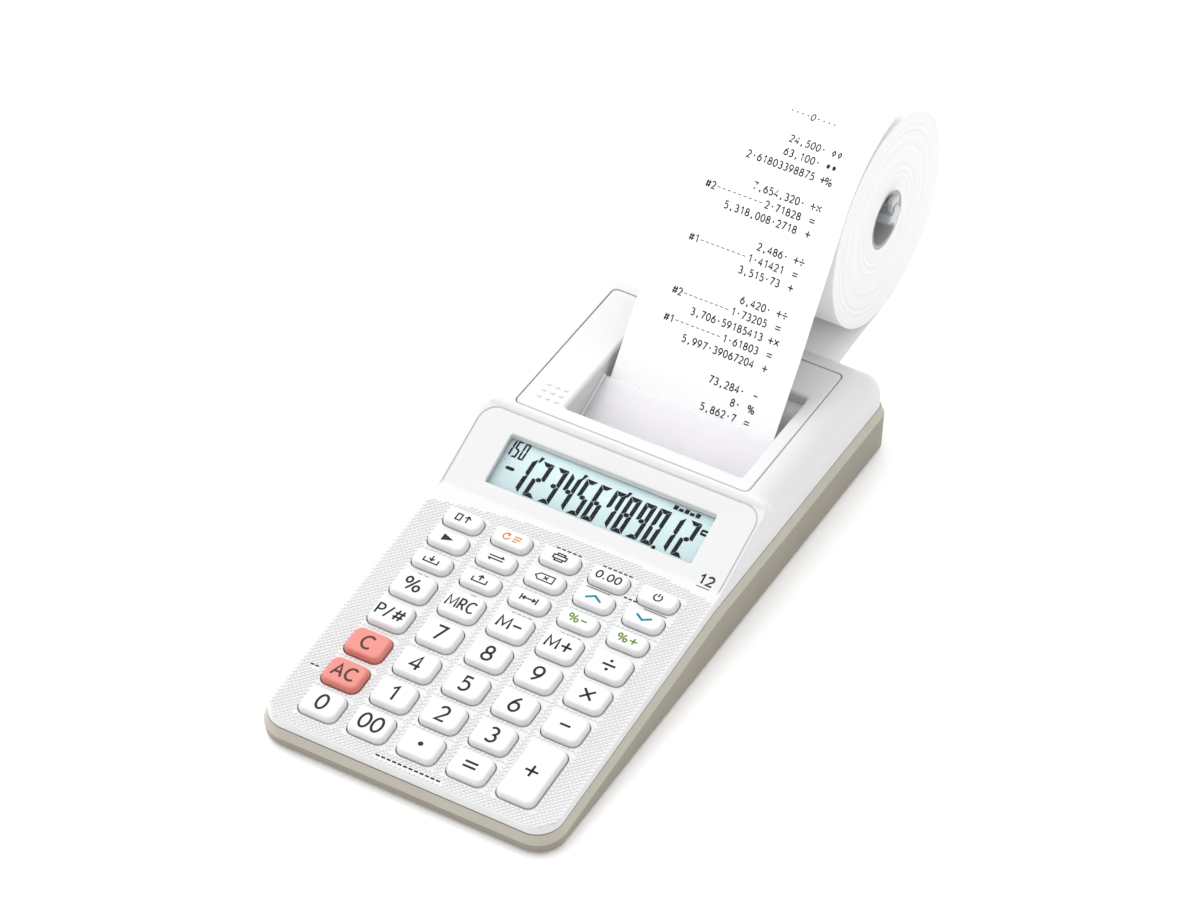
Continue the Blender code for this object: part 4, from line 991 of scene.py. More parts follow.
def make_display():
    """The liquid-crystal panel with its lit segments, and the clear window over it."""
    shape = Shape()
    face = panel_lift(2.38)
    wide, tall, base_v = 38.5, 22.0, -2.0
    levels = ((0.0, -2.0), (0.0, -0.15), (0.15, 0.0))
    shape.loft(shrinking(-wide, wide, base_v, base_v + tall, 0.6, 3, levels, face))
    slant = 0.9 / 12.0

    def draw(outline, u0, v0, low=-0.02, high=0.05):
        points = [(u0 + u + v * slant, v0 + v) for u, v in outline]
        shape.prism(points, face, low, high, 1)

    # the digits and the places of their centres, as the display shows them
    row = (("1", -26.35), ("2", -21.6), ("3", -16.35), ("4", -11.25), ("5", -6.2), ("6", -1.2), ("7", 4.0),
           ("8", 9.2), ("9", 14.4), ("0", 19.5), ("1", 25.4), ("2", 30.0))
    tall_digit, wide_digit, thick = 12.7, 3.95, 1.42
    for char, centre in row:
        left = centre - wide_digit / 2 - 0.45
        if char == "1":
            left -= 0.9
        for outline in digit_outlines(char, tall_digit, wide_digit, thick):
            draw(outline, left, 1.3)
    for char, left in (("1", -36.15), ("5", -33.85), ("0", -31.35)):
        for outline in digit_outlines(char, 5.9, 1.9, 0.62):
            draw(outline, left, 11.5)
    draw([(0, 0.55), (0.5, 0), (2.8, 0), (3.3, 0.55), (2.8, 1.1), (0.5, 1.1)], -33.4, 7.2)
    draw(bow(0.5, 0.5, 0.72, 0.72, 0, 360, 12)[:-1], 21.4, 0.8)
    for u in (-23.3, -8.0, 7.5):
        draw([(0.0, 0.0), (0.6, 0.0), (1.35, 2.0), (0.1, 2.0)], u - 1.3, 13.0)
    for i, u in enumerate((21.4, 23.3, 25.2, 27.1, 29.0)):
        draw([(0, 0), (1.5, 0), (1.5, 1.5 - 0.5 * (i % 2)), (0, 1.5 - 0.5 * (i % 2))], u, 15.2)
    frame_icon = rounded(33.0, 36.1, 10.6, 12.6, 0.35, 2)
    shape.prism(frame_icon, face, -0.02, 0.05, 1)
    shape.prism([(33.6, 11.4), (35.5, 11.4), (35.5, 11.8), (33.6, 11.8)], face, 0.04, 0.07, 0)
    shape.build("lcd_glass_panel", "case", [LCD, SEGMENT], ["lcd_panel"], "lcd_glass", 40, False)

    pane = Shape()
    levels = ((0.0, -1.0), (0.0, -0.12), (0.12, 0.0))
    pane.loft(shrinking(-35.7, 35.7, 0.35, 17.75, 0.6, 3, levels, panel_lift(0.5)))
    pane.build("display_pane", "case", [CLEAR], ["display_window"], "clear_plastic", 40, False)


# ---------------------------------------------------------------- lower case
def ridge_z(y):
    """Height of the beige case's widest line."""
    return min(3.6 + 0.104 * y, 14.0)


def lower_outline():
    """The beige case from above."""
    front_r, rear_r = 9.5, 4.0
    front_x = HALF_CASE - front_r
    rear = (HALF_CASE - rear_r, CASE_LENGTH - rear_r)
    ys = (front_r, 25, 40, 55, 70, 85, 96, 98, 100.5, 115, 135, 155, 175, 190)
    points = [(HALF_CASE, y) for y in ys]
    points += bow(*rear, rear_r, rear_r, 0, 90, 7)
    points += [(x, CASE_LENGTH) for x in (30, 10, -10, -30)]
    points += bow(-rear[0], rear[1], rear_r, rear_r, 90, 180, 7)
    points += [(-HALF_CASE, y) for y in reversed(ys)]
    points += bow(-front_x, front_r, front_r, front_r, 180, 270, 14)[1:]
    points += [(x, 0.0) for x in (-20, 0, 20)]
    points += bow(front_x, front_r, front_r, front_r, 270, 360, 14)[:-1]
    return points


def inwards(loop, distance):
    """Every side of a counter-clockwise loop moved inwards."""
    moved = []
    for i, here in enumerate(loop):
        here = Vector(here)
        first = (here - Vector(loop[i - 1])).normalized()
        second = (Vector(loop[(i + 1) % len(loop)]) - here).normalized()
        mitre = (Vector((-first.y, first.x)) + Vector((-second.y, second.x))).normalized()
        moved.append(tuple(here + mitre * distance / max(mitre.dot(Vector((-first.y, first.x))), 0.3)))
    return moved


def solid(name, shape):
    """A plain mesh object from a shape, for Booleans."""
    mesh = shape.mesh(name)
    bm = bmesh.new()
    bm.from_mesh(mesh)
    bmesh.ops.recalc_face_normals(bm, faces=bm.faces)
    bm.to_mesh(mesh)
    bm.free()
    obj = bpy.data.objects.new(name, mesh)
    bpy.context.scene.collection.objects.link(obj)
    return obj


def carve(obj, steps):
    """Apply Booleans with the given tools and remove the tools."""
    for operation, tool in steps:
        made = obj.modifiers.new(operation, "BOOLEAN")
        made.operation = operation
        made.solver = "EXACT"
        made.object = tool
    bpy.context.view_layer.update()
    done = bpy.data.meshes.new_from_object(obj.evaluated_get(bpy.context.evaluated_depsgraph_get()))
    obj.modifiers.clear()
    obj.data = done
    for _, tool in steps:
        bpy.data.objects.remove(tool, do_unlink=True)
    return obj


def drum_rings(y0, z0, profile, steps):
    """Rings round an axis along X from (x, radius) pairs."""
    return [[(x, y0 + r * cos, z0 + r * sin) for cos, sin in circle(steps)] for x, r in profile]


def post_rings(x, y, profile, steps=24):
    """Rings round an upright axis from (z, radius) pairs."""
    return [[(x + r * cos, y + r * sin, z) for cos, sin in circle(steps)] for z, r in profile]


SCREWS = ((-43, 14), (43, 14), (-43, 140), (43, 140))
JACK = (180.0, 8.5)
FEET = ((-40, 17), (40, 17), (-40, 196), (40, 196))


def make_lower_case():
    """Beige tray with its ridge and chamfer, battery bay, screw wells, jack hole and arm socket."""
    outline = lower_outline()

    def ring(inset, height):
        return [(x, y, height(py)) for (x, y), (_, py) in zip(inwards(outline, inset), outline)]

    shape = Shape()
    shape.loft([
        ring(2.0, lambda y: 0.0), ring(1.3, lambda y: 0.0), ring(0.75, lambda y: 0.18),
        ring(0.45, lambda y: 0.62), ring(0.38, lambda y: 1.2),
        ring(0.06, lambda y: ridge_z(y) - 0.30), ring(0.0, lambda y: ridge_z(y) - 0.12),
        ring(0.04, lambda y: ridge_z(y) + 0.14), ring(0.16, lambda y: ridge_z(y) + 0.30),
        ring(1.05, lambda y: parting_z(y) - 0.62), ring(1.2, lambda y: parting_z(y) - 0.3),
        ring(2.2, lambda y: parting_z(y) - 0.3), ring(2.3, lambda y: 2.0), ring(3.0, lambda y: 2.0),
    ])
    case = solid("lower_case_shell", shape)
    extra = Shape()
    extra.slab(rounded(-33.3, 33.3, 95.7, 152.2, 1.0, 3), 1.5, 8.0)
    for x, y in SCREWS:
        extra.loft(post_rings(x, y, ((0.5, 4.4), (5.7, 4.4), (6.0, 4.1))))
    for x, y in FEET:
        extra.loft(post_rings(x, y, ((-0.72, 4.6), (-0.5, 4.95), (-0.2, 5.0), (0.5, 5.0)), 36))
    hollow = Shape()
    hollow.slab(rounded(-31.8, 31.8, 97.2, 151.3, 0.8, 3), -5.0, 15.0)
    for x, y in SCREWS:
        hollow.loft(post_rings(x, y, ((-5.0, 3.2), (3.5, 3.2))))
    hollow.loft(drum_rings(*JACK, ((-56.0, 4.2), (-46.0, 4.2)), 32))
    x0, x1, z0, z1 = -31.3, -26.7, 4.7, 11.3
    hollow.loft([[(x0, y, z0), (x1, y, z0), (x1, y, z1), (x0, y, z1)] for y in (204.0, 214.0)])
    hollow.slab(rounded(-6.6, 6.6, 95.2, 98.0, 0.5, 2), 0.1, 1.9)
    hollow.slab(rounded(-22, 22, 45, 78, 1.5, 4), -2.0, 0.25)
    carve(case, [("UNION", solid("bay_and_posts", extra)), ("DIFFERENCE", solid("openings", hollow))])
    case.data.materials.clear()
    case.data.materials.append(BEIGE)
    case.data.materials.append(BEIGE_PAINTED_LIGHT)
    # faces above the ridge that look upwards get the lighter beige as painted light; the lower band stays the
    # plain, darker beige
    for face in case.data.polygons:
        x, y, z = face.center.x / MM, (face.center.y - FRONT) / MM, (face.center.z - UNDERSIDE) / MM
        face.material_index = 1 if z > ridge_z(y) - 0.2 and face.normal.z > 0.15 else 0
    finish_object(case, "case", ["lower_case"], 14)


def make_feet_and_screws():
    """Rubber foot pads and the cross-head screws that hold the two case halves together."""
    pads = Shape()
    profile = ((-0.4, 4.2), (-0.85, 4.2), (-0.97, 4.05), (-1.0, 3.6), (-1.0, 1.2))
    for x, y in FEET:
        pads.loft(post_rings(x, y, profile, 36))
    pads.build("foot_pads", "case", [RUBBER], (), None, 40)
    heads = Shape()
    steps = 32
    cross = [1.55 if abs(math.sin(4 * math.pi * i / steps)) < 0.35 else 0.55 for i in range(steps)]
    for x, y in SCREWS:
        rings = post_rings(x, y, ((3.5, 1.4), (3.4, 2.75), (2.6, 2.8), (2.1, 2.55), (1.85, 2.1)), steps)
        for z, share in ((1.82, 1.0), (2.9, 0.8)):
            rings.append([(x + r * share * cos, y + r * share * sin, z)
                          for r, (cos, sin) in zip(cross, circle(steps))])
        heads.loft(rings)
    heads.build("case_screws", "case", [STEEL_TURNED], (), "steel", 30)


def make_battery_door():
    """Battery cover with its grip ribs, thumb notch and latch."""
    shape = Shape()
    shape.loft(shrinking(-31.5, 31.5, 97.5, 151.0, 1.2, 5, ((0.25, 0.0), (0.0, 0.25), (0.0, 1.6))))
    door = solid("battery_door_panel", shape)
    cut = Shape()
    thumb = rounded(-9.0, 9.0, 100.5, 108.5, 3.6, 6)
    thumb_y = 104.5
    cut.loft([[(x, y, -1.0) for x, y in thumb], [(x, y, 0.05) for x, y in thumb],
              [(x * 0.88, thumb_y + (y - thumb_y) * 0.76, 0.55) for x, y in thumb]])
    for i in range(6):
        y = 141.0 + i * 1.5
        cut.slab(rounded(-24, 24, y - 0.3, y + 0.3, 0.25, 2), -1.0, 0.3)
    add = Shape()
    latch = rounded(-6.0, 6.0, 97.3, 99.1, 0.3, 2)
    add.slab([(x, y - 1.5 if y < 98.2 else y) for x, y in latch], 0.5, 1.5)
    for i in range(4):
        y = 102.0 + i * 1.4
        add.slab(rounded(-5.5 + i * 0.9, 5.5 - i * 0.9, y, y + 0.5, 0.2, 2), 0.15, 0.8)
    carve(door, [("DIFFERENCE", solid("door_cuts", cut)), ("UNION", solid("door_adds", add))])
    door.data.materials.clear()
    door.data.materials.append(BEIGE)
    finish_object(door, "battery_door", ["battery_cover"], 30)


# ---------------------------------------------------------------- printer cover, cutter
COVER_R = 1.8
GRIP_X = (-35.4, -32.4, -29.35)
GRIP_Y = (140.2, 143.25, 146.3)


def make_cover():
    """Lift-up cover: soft edges, a rolled rim round the paper exit, skirt, cutter rails and grip dots."""
    shape = Shape()
    x0, x1, y0, y1 = -40.7, 40.7, 134.4, 196.1

    def outer(inset, z):
        loop = rounded(x0 + inset, x1 - inset, y0 + inset, y1 - inset, COVER_R - inset * 0.5, 6)
        return [(x, y, z) for x, y in loop]

    def slot(grow, z, front_z=None, rear_z=None):
        r = max(1.0 + grow * 0.6, 0.6)
        loop = rounded(SLOT_X[0] - grow, SLOT_X[1] + grow, SLOT_Y[0] - grow, SLOT_Y[1] + grow, r, 6)
        points = []
        for x, y in loop:
            if front_z and y < SLOT_Y[0] + 2:
                points.append((x, y, front_z))
            elif rear_z and y > SLOT_Y[1] + grow - 0.9 * r:
                points.append((x, y, rear_z))
            else:
                points.append((x, y, z))
        return points

    rim = 1.3
    under = 31.4
    rings = [outer(0.0, under), outer(0.0, 32.75), outer(0.08, 33.0), outer(0.25, 33.15), outer(0.5, ROOF_Z)]
    rings.append(slot(rim + 0.9, ROOF_Z))
    for turn in (0, 18, 36, 54, 72, 90):
        t = math.radians(turn)
        rings.append(slot(rim * (1 - math.sin(t)), ROOF_Z - rim * (1 - math.cos(t))))
    skirt = (25.0, 19.0, 29.5)
    rings += [slot(0.0, *skirt), slot(1.2, *skirt), slot(1.2, under)]
    shape.torus(rings)
    foot, edge = Vector(CUTTER_FOOT), Vector(CUTTER_EDGE)
    lean = (edge - foot).normalized()
    up = Vector((-lean.y, lean.x))
    wide, run = 0.9, 24.2
    for x in (SLOT_X[0] + 0.02, SLOT_X[1] - 0.02 - wide):
        rings = []
        for along in (0.4, 8.0, 16.0, run):
            base = foot + lean * along
            low, high = base + up * -0.6, base + up * (1.7 - 0.5 * along / run)
            rings.append([(x, low.x, low.y), (x + wide, low.x, low.y),
                          (x + wide, high.x - 0.05, high.y - 0.12), (x + wide - 0.2, high.x, high.y),
                          (x + 0.2, high.x, high.y), (x, high.x, high.y - 0.12)])
        shape.loft(rings)
    for x in GRIP_X:
        for y in GRIP_Y:
            shape.loft([[(u, v, ROOF_Z + rise) for u, v in bow(x, y, 0.95 * g, 0.50 * g, 0, 360, 12)[:-1]]
                        for g, rise in ((1.0, -0.1), (0.95, 0.10), (0.72, 0.28), (0.35, 0.36))])
    shape.build("printer_cover_panel", "cover", [COVER_WHITE], ["printer_cover"], "white_plastic", 35)


def make_guide():
    """Curved paper guide fixed to the printer behind the exit, which leads the strip up and out."""
    shape = Shape()
    left, right = SLOT_X[0] + 0.6, SLOT_X[1] - 0.4
    line = ((170.6, 21.3), (171.3, 21.9), (172.6, 23.1), (174.2, 24.8), (175.8, 26.6), (177.2, 27.9),
            (178.8, 28.6), (180.6, 28.8), (184.0, 28.8))
    rings = []
    for i, here in enumerate(line):
        behind, ahead = Vector(line[max(i - 1, 0)]), Vector(line[min(i + 1, len(line) - 1)])
        way = (ahead - behind).normalized()
        out = Vector((-way.y, way.x)) * 0.5
        high, low = Vector(here) + out, Vector(here) - out
        rings.append([(left, low.x, low.y), (left, high.x, high.y),
                      (right, high.x, high.y), (right, low.x, low.y)])
    shape.loft(rings)
    shape.build("paper_guide", "case", [COVER_WHITE], (), "white_plastic", 30)


def make_cutter():
    """Tear-off plate: thin, bevelled, with a fine saw edge."""
    foot, edge = Vector(CUTTER_FOOT), Vector(CUTTER_EDGE)
    lean = (edge - foot).normalized()
    down = Vector((lean.y, -lean.x))
    shape = Shape()
    left, right = SLOT_X[0] + 1.0, SLOT_X[1] - 1.0
    teeth = 58
    count = teeth * 2 + 1
    length = (edge - foot).length
    columns = []
    for i in range(count):
        x = left + (right - left) * i / (count - 1)
        bite = 0.45 if i % 2 else 0.0
        column = []
        for along, depth in ((0.0, 0.0), (length - 2.6, 0.0), (length - 1.8, 0.05), (length - bite, 0.62),
                             (length - bite, 0.78), (length - 2.4, 1.0), (0.0, 1.0)):
            spot = foot + lean * along + down * depth
            column.append((x, spot.x, spot.y))
        columns.append(column)
    shape.loft(columns)
    shape.build("tear_plate", "cover", [CUTTER], ["paper_cutter"], "lilac_plastic", 25, False)


# ---------------------------------------------------------------- paper
def paper_path():
    """Centre line of the strip in side view: off the roll, round the platen, up and over the roll."""
    path = [(ROLL_Y, 28.0), (222.0, 27.6), (203.5, 26.3), (194.0, 22.6)]
    path += bow(164.8, 16.0, 5.9, 5.9, -66, -175, 7)
    path += [(159.9, 20.6), (162.3, 24.9), (165.4, 29.2), (172.6, 38.6), (180.1, 48.4), (187.4, 59.0),
             (194.2, 68.6), (199.6, 76.4)]
    for degrees, off in ((152, 0.7), (142, 0.7), (132, 0.9), (122, 1.3), (112, 1.9), (101, 2.6), (90, 3.4),
                         (78, 4.6)):
        t = math.radians(degrees)
        path.append((ROLL_Y + (ROLL_R + off) * math.cos(t), ROLL_Z + (ROLL_R + off) * math.sin(t)))
    return path


def smooth_path(points, step=1.2):
    """A Catmull-Rom curve through the points, sampled about every step."""
    points = [Vector(p) for p in points]
    made = []
    for i in range(len(points) - 1):
        a, b, c, d = points[max(i - 1, 0)], points[i], points[i + 1], points[min(i + 2, len(points) - 1)]
        parts = max(2, round((c - b).length / step))
        for k in range(parts):
            t = k / parts
            made.append(0.5 * ((2 * b) + (c - a) * t + (2 * a - 5 * b + 4 * c - d) * t * t
                               + (3 * b - a - 3 * c + d) * t**3))
    return made + [points[-1]]


PATH = smooth_path(paper_path())
TEAR_Y = 164.1


def path_frame():
    """For each path point: distance along the strip from the tear edge, place and outward normal."""
    run = [0.0]
    for a, b in zip(PATH, PATH[1:]):
        run.append(run[-1] + (b - a).length)
    start = next(i for i in range(len(PATH)) if PATH[i].y > 20.7 and PATH[i].x < 163)
    zero = run[next(i for i in range(start, len(PATH)) if PATH[i].x > TEAR_Y)]
    made = []
    for i, here in enumerate(PATH):
        way = (PATH[min(i + 1, len(PATH) - 1)] - PATH[max(i - 1, 0)]).normalized()
        made.append((run[i] - zero, here, Vector((-way.y, way.x))))
    return made


STATIONS = path_frame()


def strip_lift(u, s, h):
    """Placement on the strip's printed face: u across in case x, s along from the tear edge."""
    for (s0, p0, n0), (s1, p1, n1) in zip(STATIONS, STATIONS[1:]):
        if s <= s1:
            t = (s - s0) / max(s1 - s0, 1e-6)
            break
    spot = p0.lerp(p1, t) + n0.lerp(n1, t).normalized() * (0.07 + h)
    return (u, spot.x, spot.y)


# distance along the strip from the tear edge, number and signs
PRINT_LINES = (
    (98.0, "....0....", ""), (89.1, "24,500.", "oo"), (84.7, "63,100.", "**"),
    (80.2, "2.61803398875", "+%"), (71.6, "7,654,320.", "+x"), (67.3, "2.71828", "="),
    (63.0, "5,318,008.2718", "+"), (54.3, "2,486.", "+:"), (50.0, "1.41421", "="), (45.7, "3,515.73", "+"),
    (37.0, "6,420.", "+:"), (32.7, "1.73205", "="), (28.3, "3,706.59185413", "+x"), (23.9, "1.61803", "="),
    (19.5, "5,997.39067204", "+"), (10.6, "73,284.", "-"), (6.2, "8.", "%"), (1.8, "5,862.7", "="),
    (-7.0, "79,146.7", "+"),
)
PRINT_LAYER = (-0.05, 0.015)
# the lines that start with a numbered dashed rule
DASHED = {67.3: "#2", 50.0: "#1", 32.7: "#2", 23.9: "#1"}


def make_strip():
    """The continuous paper strip with its printed sums."""
    shape = Shape()
    x0, x1 = PAPER_X - PAPER_WIDTH / 2, PAPER_X + PAPER_WIDTH / 2
    half = 0.07
    rings = []
    for s, here, out in STATIONS:
        low, high = here - out * half, here + out * half
        rings.append([(x0, low.x, low.y), (x0, high.x, high.y), (x1, high.x, high.y), (x1, low.x, low.y)])
    shape.loft(rings)
    pitch, tall, pen = 1.82, 2.65, 0.40
    last_x, zero_x, first_x, marks_x = 19.0, 11.0, -12.4, 22.6

    def sign(char, x, s):
        write(shape, char, (x, s), tall, pen, strip_lift, *PRINT_LAYER, 1, 0.0, 0.86, 0.11)

    for s, number, marks in PRINT_LINES:
        if number.startswith("...."):
            for i, char in enumerate(number):
                sign("'" if char == "." else char, zero_x + (i - 4) * pitch, s)
            continue
        if s in DASHED:
            x = last_x - len(number) * pitch + pitch / 2
            sign(DASHED[s][0], first_x, s)
            sign(DASHED[s][1], first_x + pitch, s)
            spot = first_x + 2.0 * pitch
            while spot < x - 0.8:
                corners = ((-0.55, -0.13), (0.55, -0.13), (0.55, 0.13), (-0.55, 0.13))
                shape.prism([(spot + a, s + b) for a, b in corners], strip_lift, *PRINT_LAYER, 1)
                spot += pitch
        for i, char in enumerate(reversed(number)):
            char = "'" if char == "." else char
            sign(char, last_x - i * pitch, s)
        for i, char in enumerate(marks):
            sign(char, marks_x + i * 2.0 + (1.0 if len(marks) == 1 else 0), s)
    shape.build("printed_paper_strip", "case", [PAPER, INK_PRINT], ["paper_strip"], "paper", 40, False)


def make_roll():
    """Paper roll: many turns seen edge-on as slight steps, and the grey core."""
    rng = random.Random(11)
    left, right = PAPER_X - PAPER_WIDTH / 2, PAPER_X + PAPER_WIDTH / 2
    shape = Shape()
    steps = 96
    core_r, bore_r = 9.8, 8.5
    radii = [core_r]
    while radii[-1] < ROLL_R - 0.9:
        radii.append(radii[-1] + rng.uniform(0.45, 0.85))
    radii.append(ROLL_R - 0.12)
    profile = []
    for r in radii:
        off = rng.uniform(0.0, 0.09) + 0.10 * smooth(14, 9, r)
        profile.append((right - off, r))
        profile.append((right - off - rng.uniform(-0.03, 0.05), r + 0.12))
    profile += [(right - 0.05, ROLL_R - 0.05), (right - 0.10, ROLL_R), (left + 0.10, ROLL_R),
                (left + 0.05, ROLL_R - 0.05)]
    for r in reversed(radii):
        profile.append((left + rng.uniform(0.0, 0.09), r))
    shape.torus(drum_rings(ROLL_Y, ROLL_Z, profile, steps))
    end = ((0.35, core_r - 0.02), (0.25, core_r - 0.25), (0.25, bore_r + 0.2), (0.45, bore_r))
    core = [(right - off, r) for off, r in end] + [(left + off, r) for off, r in reversed(end)]
    shape.torus(drum_rings(ROLL_Y, ROLL_Z, core, 64), 1)
    shape.build("paper_roll_turned", "roll", [ROLL_SIDE, CORE], ["paper_roll"], "paper", 50, False)


# ---------------------------------------------------------------- roll holder
def make_holder():
    """Plug-in arm with raised edges, and its ribbed spindle with the up-turned lip."""
    shape = Shape()
    arm_x, half_t, edge = -29.0, 2.0, 0.6
    foot = Vector((212.0, 8.0))
    head = Vector((ROLL_Y, SPINDLE_Z))
    lean = (head - foot).normalized()
    side = Vector((-lean.y, lean.x))
    upright = Vector((0, 1))
    plug, bend, rise = Vector((197.2, 8.0)), Vector((209.0, 8.0)), Vector((214.5, 14.0))
    plug_half, arm_half = 3.0, 4.4
    centre = [(plug.lerp(bend, t / 4), upright, plug_half) for t in range(5)]
    for t in range(1, 9):
        mix = t / 9
        spot = bend.lerp(rise, mix) + Vector((0.8, -0.8)) * math.sin(mix * math.pi)
        centre.append((spot, upright.lerp(side, mix).normalized(), plug_half + 1.3 * mix))
    centre += [(rise.lerp(head, t / 10), side, arm_half) for t in range(11)]

    def section(spot, across, half):
        """The arm's cross-section with its four long edges cut off."""
        low = half - edge
        corners = ((-half_t, low), (edge - half_t, half), (half_t - edge, half), (half_t, low))
        points = []
        for off, w in corners:
            p = spot + across * w
            points.append((arm_x + off, p.x, p.y))
        for off, w in reversed(corners):
            p = spot - across * w
            points.append((arm_x + off, p.x, p.y))
        return points

    rings = [section(*place) for place in centre]
    for turn in (20, 40, 60, 75):
        t = math.radians(turn)
        rings.append(section(head + lean * arm_half * math.sin(t), side, arm_half * math.cos(t)))
    shape.loft(rings)
    blade = Shape()
    rings = []
    for x, grow in ((arm_x + 1.0, 1.0), (-24.6, 1.0), (-23.4, 0.93), (33.0, 0.93), (36.2, 0.90),
                    (36.75, 0.78)):
        loop = []
        for i in range(32):
            t = 2 * math.pi * i / 32
            r = 4.75 * grow * (1.0 if math.cos(4 * t) > -0.3 else 0.72)
            loop.append((x, ROLL_Y + r * math.sin(t) * 0.96, SPINDLE_Z + r * math.cos(t)))
        rings.append(loop)
    blade.loft(rings)
    half_y, top = 2.6, 74.4
    lip = []
    for inset, z in ((0.0, SPINDLE_Z + 1.0), (0.0, top - 1.2), (0.25, top - 0.5), (0.7, top)):
        loop = rounded(34.6 + inset * 0.5, 36.3 - inset * 0.5,
                       ROLL_Y - half_y + inset, ROLL_Y + half_y - inset, 0.45, 3)
        lip.append([(x, y, z) for x, y in loop])
    blade.loft(lip)
    for piece, name in ((shape, "holder_arm"), (blade, "holder_spindle")):
        stands = ["roll_holder"] if name == "holder_arm" else []
        piece.build(name, "holder", [HOLDER], stands, "grey_plastic", 32)


# ---------------------------------------------------------------- things seen with the covers open
def make_cells():
    """Four cylindrical cells with their sleeves and caps, and the contact plates at their ends."""
    shape = Shape()
    pitch, length = 14.7, 50.5
    # distance along the cell, radius, and which of the cell's finishes follows
    profile = ((0.0, 5.2, 2), (0.0, 6.5, 2), (0.4, 6.9, 2), (0.7, 7.1, 1), (15.5, 7.1, 1),
               (15.5, 7.1, 0), (48.2, 7.1, 0), (48.6, 6.8, 2), (48.8, 2.8, 2), (49.0, 2.75, 2),
               (50.3, 2.7, 2), (length, 2.3, 2))
    for i in range(4):
        x = (i - 1.5) * pitch
        rings = []
        for along, r, _ in profile:
            y = 98.9 + (length - along if i % 2 else along)
            rings.append([(x + r * cos, y, 9.2 + r * sin) for cos, sin in circle(32)])
        shape.loft(rings, kinds=[kind for _, _, kind in profile])
    for y in (98.6, 149.6):
        for x_mid in (-pitch, pitch):
            plate = rounded(x_mid - 9.5, x_mid + 9.5, 5.0, 13.4, 1.0, 3)
            shape.loft([[(u, y - 0.15, v) for u, v in plate], [(u, y + 0.15, v) for u, v in plate]], 3)
    shape.build("battery_cells", "case", [SLEEVE, SLEEVE_BAND, STEEL_TURNED, BRASS], ["battery_set"],
                "battery_sleeve", 35)


def make_jack():
    """Adaptor socket: moulded body, rounded mouth and centre pin."""
    body = solid("adaptor_jack", shape_box((-48.7, 175.5, 3.5), (-37.7, 184.5, 13.5), 0.6))
    hole = Shape()
    hole.loft(drum_rings(*JACK, ((-50.0, 3.6), (-48.4, 3.1), (-40.0, 3.1)), 32))
    carve(body, [("DIFFERENCE", solid("mouth", hole))])
    body.data.materials.clear()
    body.data.materials.append(BLACK)
    finish_object(body, "case", ["power_jack"], 30)
    pin = Shape()
    pin.loft(drum_rings(*JACK, ((-40.6, 1.05), (-46.6, 1.05), (-47.1, 0.9), (-47.4, 0.5)), 20))
    pin.build("jack_pin", "case", [STEEL_TURNED], (), "steel", 30)


def shape_box(low, high, edge):
    """A box with chamfered upright and level edges."""
    shape = Shape()
    levels = ((edge, low[2]), (0.0, low[2] + edge), (0.0, high[2] - edge), (edge, high[2]))
    shape.loft(shrinking(low[0], high[0], low[1], high[1], edge, 2, levels))
    return shape


def finish_nodes():
    """Better materials on the CAD pieces whose shape stays."""
    better = {
        "key_mat": MAT, "circuit_board": BOARD, "printer_frame": STEEL, "platen_roller": BLACK,
        "print_carriage": BLACK, "type_drum": BLACK, "ink_roller": FOAM, "printer_motor": STEEL_TURNED,
        "drive_gear": NYLON,
    }
    for name, finish in better.items():
        data = frame["nodes"][name].data
        data.materials.clear()
        data.materials.append(finish)


# ---------------------------------------------------------------- stage
SKY_FROM = (-0.6, 0.55, 0.58)
SKY_LEVELS = (0.50, 1.62)
CAMERA_TURN = (29.54, 42.328, 0.662)
CAMERA_PLACE = (0.53986, -0.97228, 1.04424)


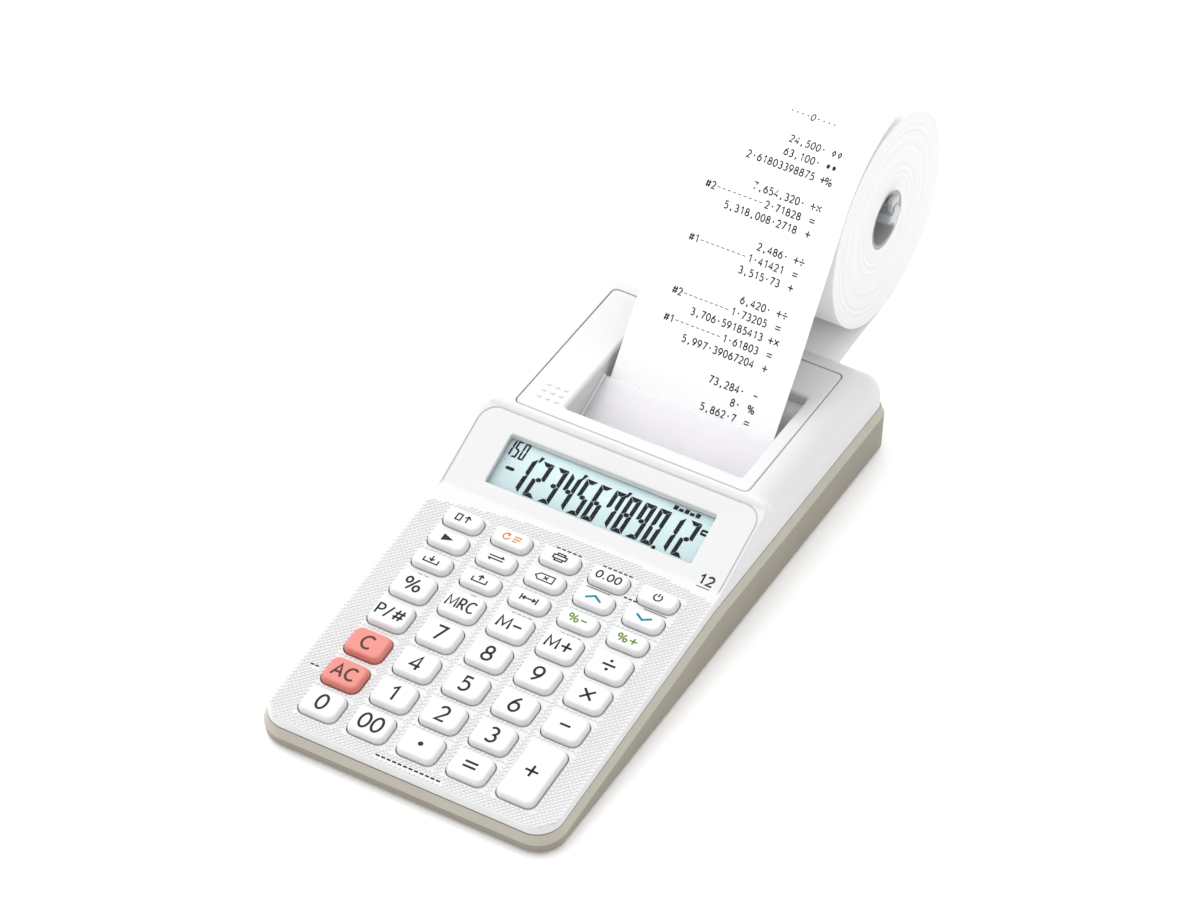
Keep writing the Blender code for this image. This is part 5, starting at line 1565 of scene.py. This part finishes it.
def make_stage():
    """Pale floor, soft light from the left rear, and the camera."""
    floor = Shape()
    half = 3000.0
    floor.slab(((-half, -half), (half, -half), (half, half), (-half, half)), -21.0, -1.0)
    mesh = floor.mesh("studio_floor")
    finish = Finish("floor_card", 0.9, Emission_Color=(1.0, 1.0, 1.0, 1.0), Emission_Strength=0.09)
    finish.mottle((0.965, 0.965, 0.965), 0.005, 3.0)
    mesh.materials.append(finish.material)
    obj = bpy.data.objects.new("studio_floor", mesh)
    bpy.context.scene.collection.objects.link(obj)

    sky = bpy.data.worlds.new("studio_sky")
    sky.use_nodes = True
    background = sky.node_tree.nodes["Background"]
    background.inputs["Color"].default_value = (1.0, 1.0, 1.0, 1.0)
    nodes, links = sky.node_tree.nodes, sky.node_tree.links
    way = nodes.new("ShaderNodeTexCoord")
    toward = nodes.new("ShaderNodeVectorMath")
    toward.operation = "DOT_PRODUCT"
    toward.inputs[1].default_value = Vector(SKY_FROM).normalized()
    links.new(way.outputs["Generated"], toward.inputs[0])
    level = nodes.new("ShaderNodeMapRange")
    level.inputs["From Min"].default_value = -1.0
    level.inputs["To Min"].default_value = SKY_LEVELS[0]
    level.inputs["To Max"].default_value = SKY_LEVELS[1]
    links.new(toward.outputs["Value"], level.inputs["Value"])
    links.new(level.outputs["Result"], background.inputs["Strength"])
    bpy.context.scene.world = sky

    data = bpy.data.lights.new("key_light", "SUN")
    data.energy = 0.9
    data.angle = math.radians(60.0)
    light = bpy.data.objects.new("key_light", data)
    light.rotation_euler = Vector((-0.75, 0.35, 1.0)).to_track_quat("Z", "Y").to_euler()
    bpy.context.scene.collection.objects.link(light)

    azimuth, elevation, roll = (math.radians(degrees) for degrees in CAMERA_TURN)
    right = Vector((math.cos(azimuth), math.sin(azimuth), 0))
    back = Vector((math.sin(azimuth) * math.cos(elevation), -math.cos(azimuth) * math.cos(elevation),
                   math.sin(elevation)))
    up = back.cross(right)
    turned_right = right * math.cos(roll) + up * math.sin(roll)
    turned_up = up * math.cos(roll) - right * math.sin(roll)
    data = bpy.data.cameras.new("studio_camera")
    data.lens = 148.23
    data.sensor_width = 36.0
    data.clip_end = 20.0
    camera = bpy.data.objects.new("studio_camera", data)
    matrix = Matrix((turned_right, turned_up, back)).transposed().to_4x4()
    matrix.translation = Vector(CAMERA_PLACE)
    camera.matrix_world = matrix
    bpy.context.scene.collection.objects.link(camera)
    bpy.context.scene.camera = camera
    bpy.context.scene.view_settings.view_transform = "Standard"


make_top_case()
make_weave()
make_keys()
make_case_marks()
make_display()
make_lower_case()
make_feet_and_screws()
make_battery_door()
make_cover()
make_cutter()
make_guide()
make_strip()
make_roll()
make_holder()
make_cells()
make_jack()
finish_nodes()
make_stage()
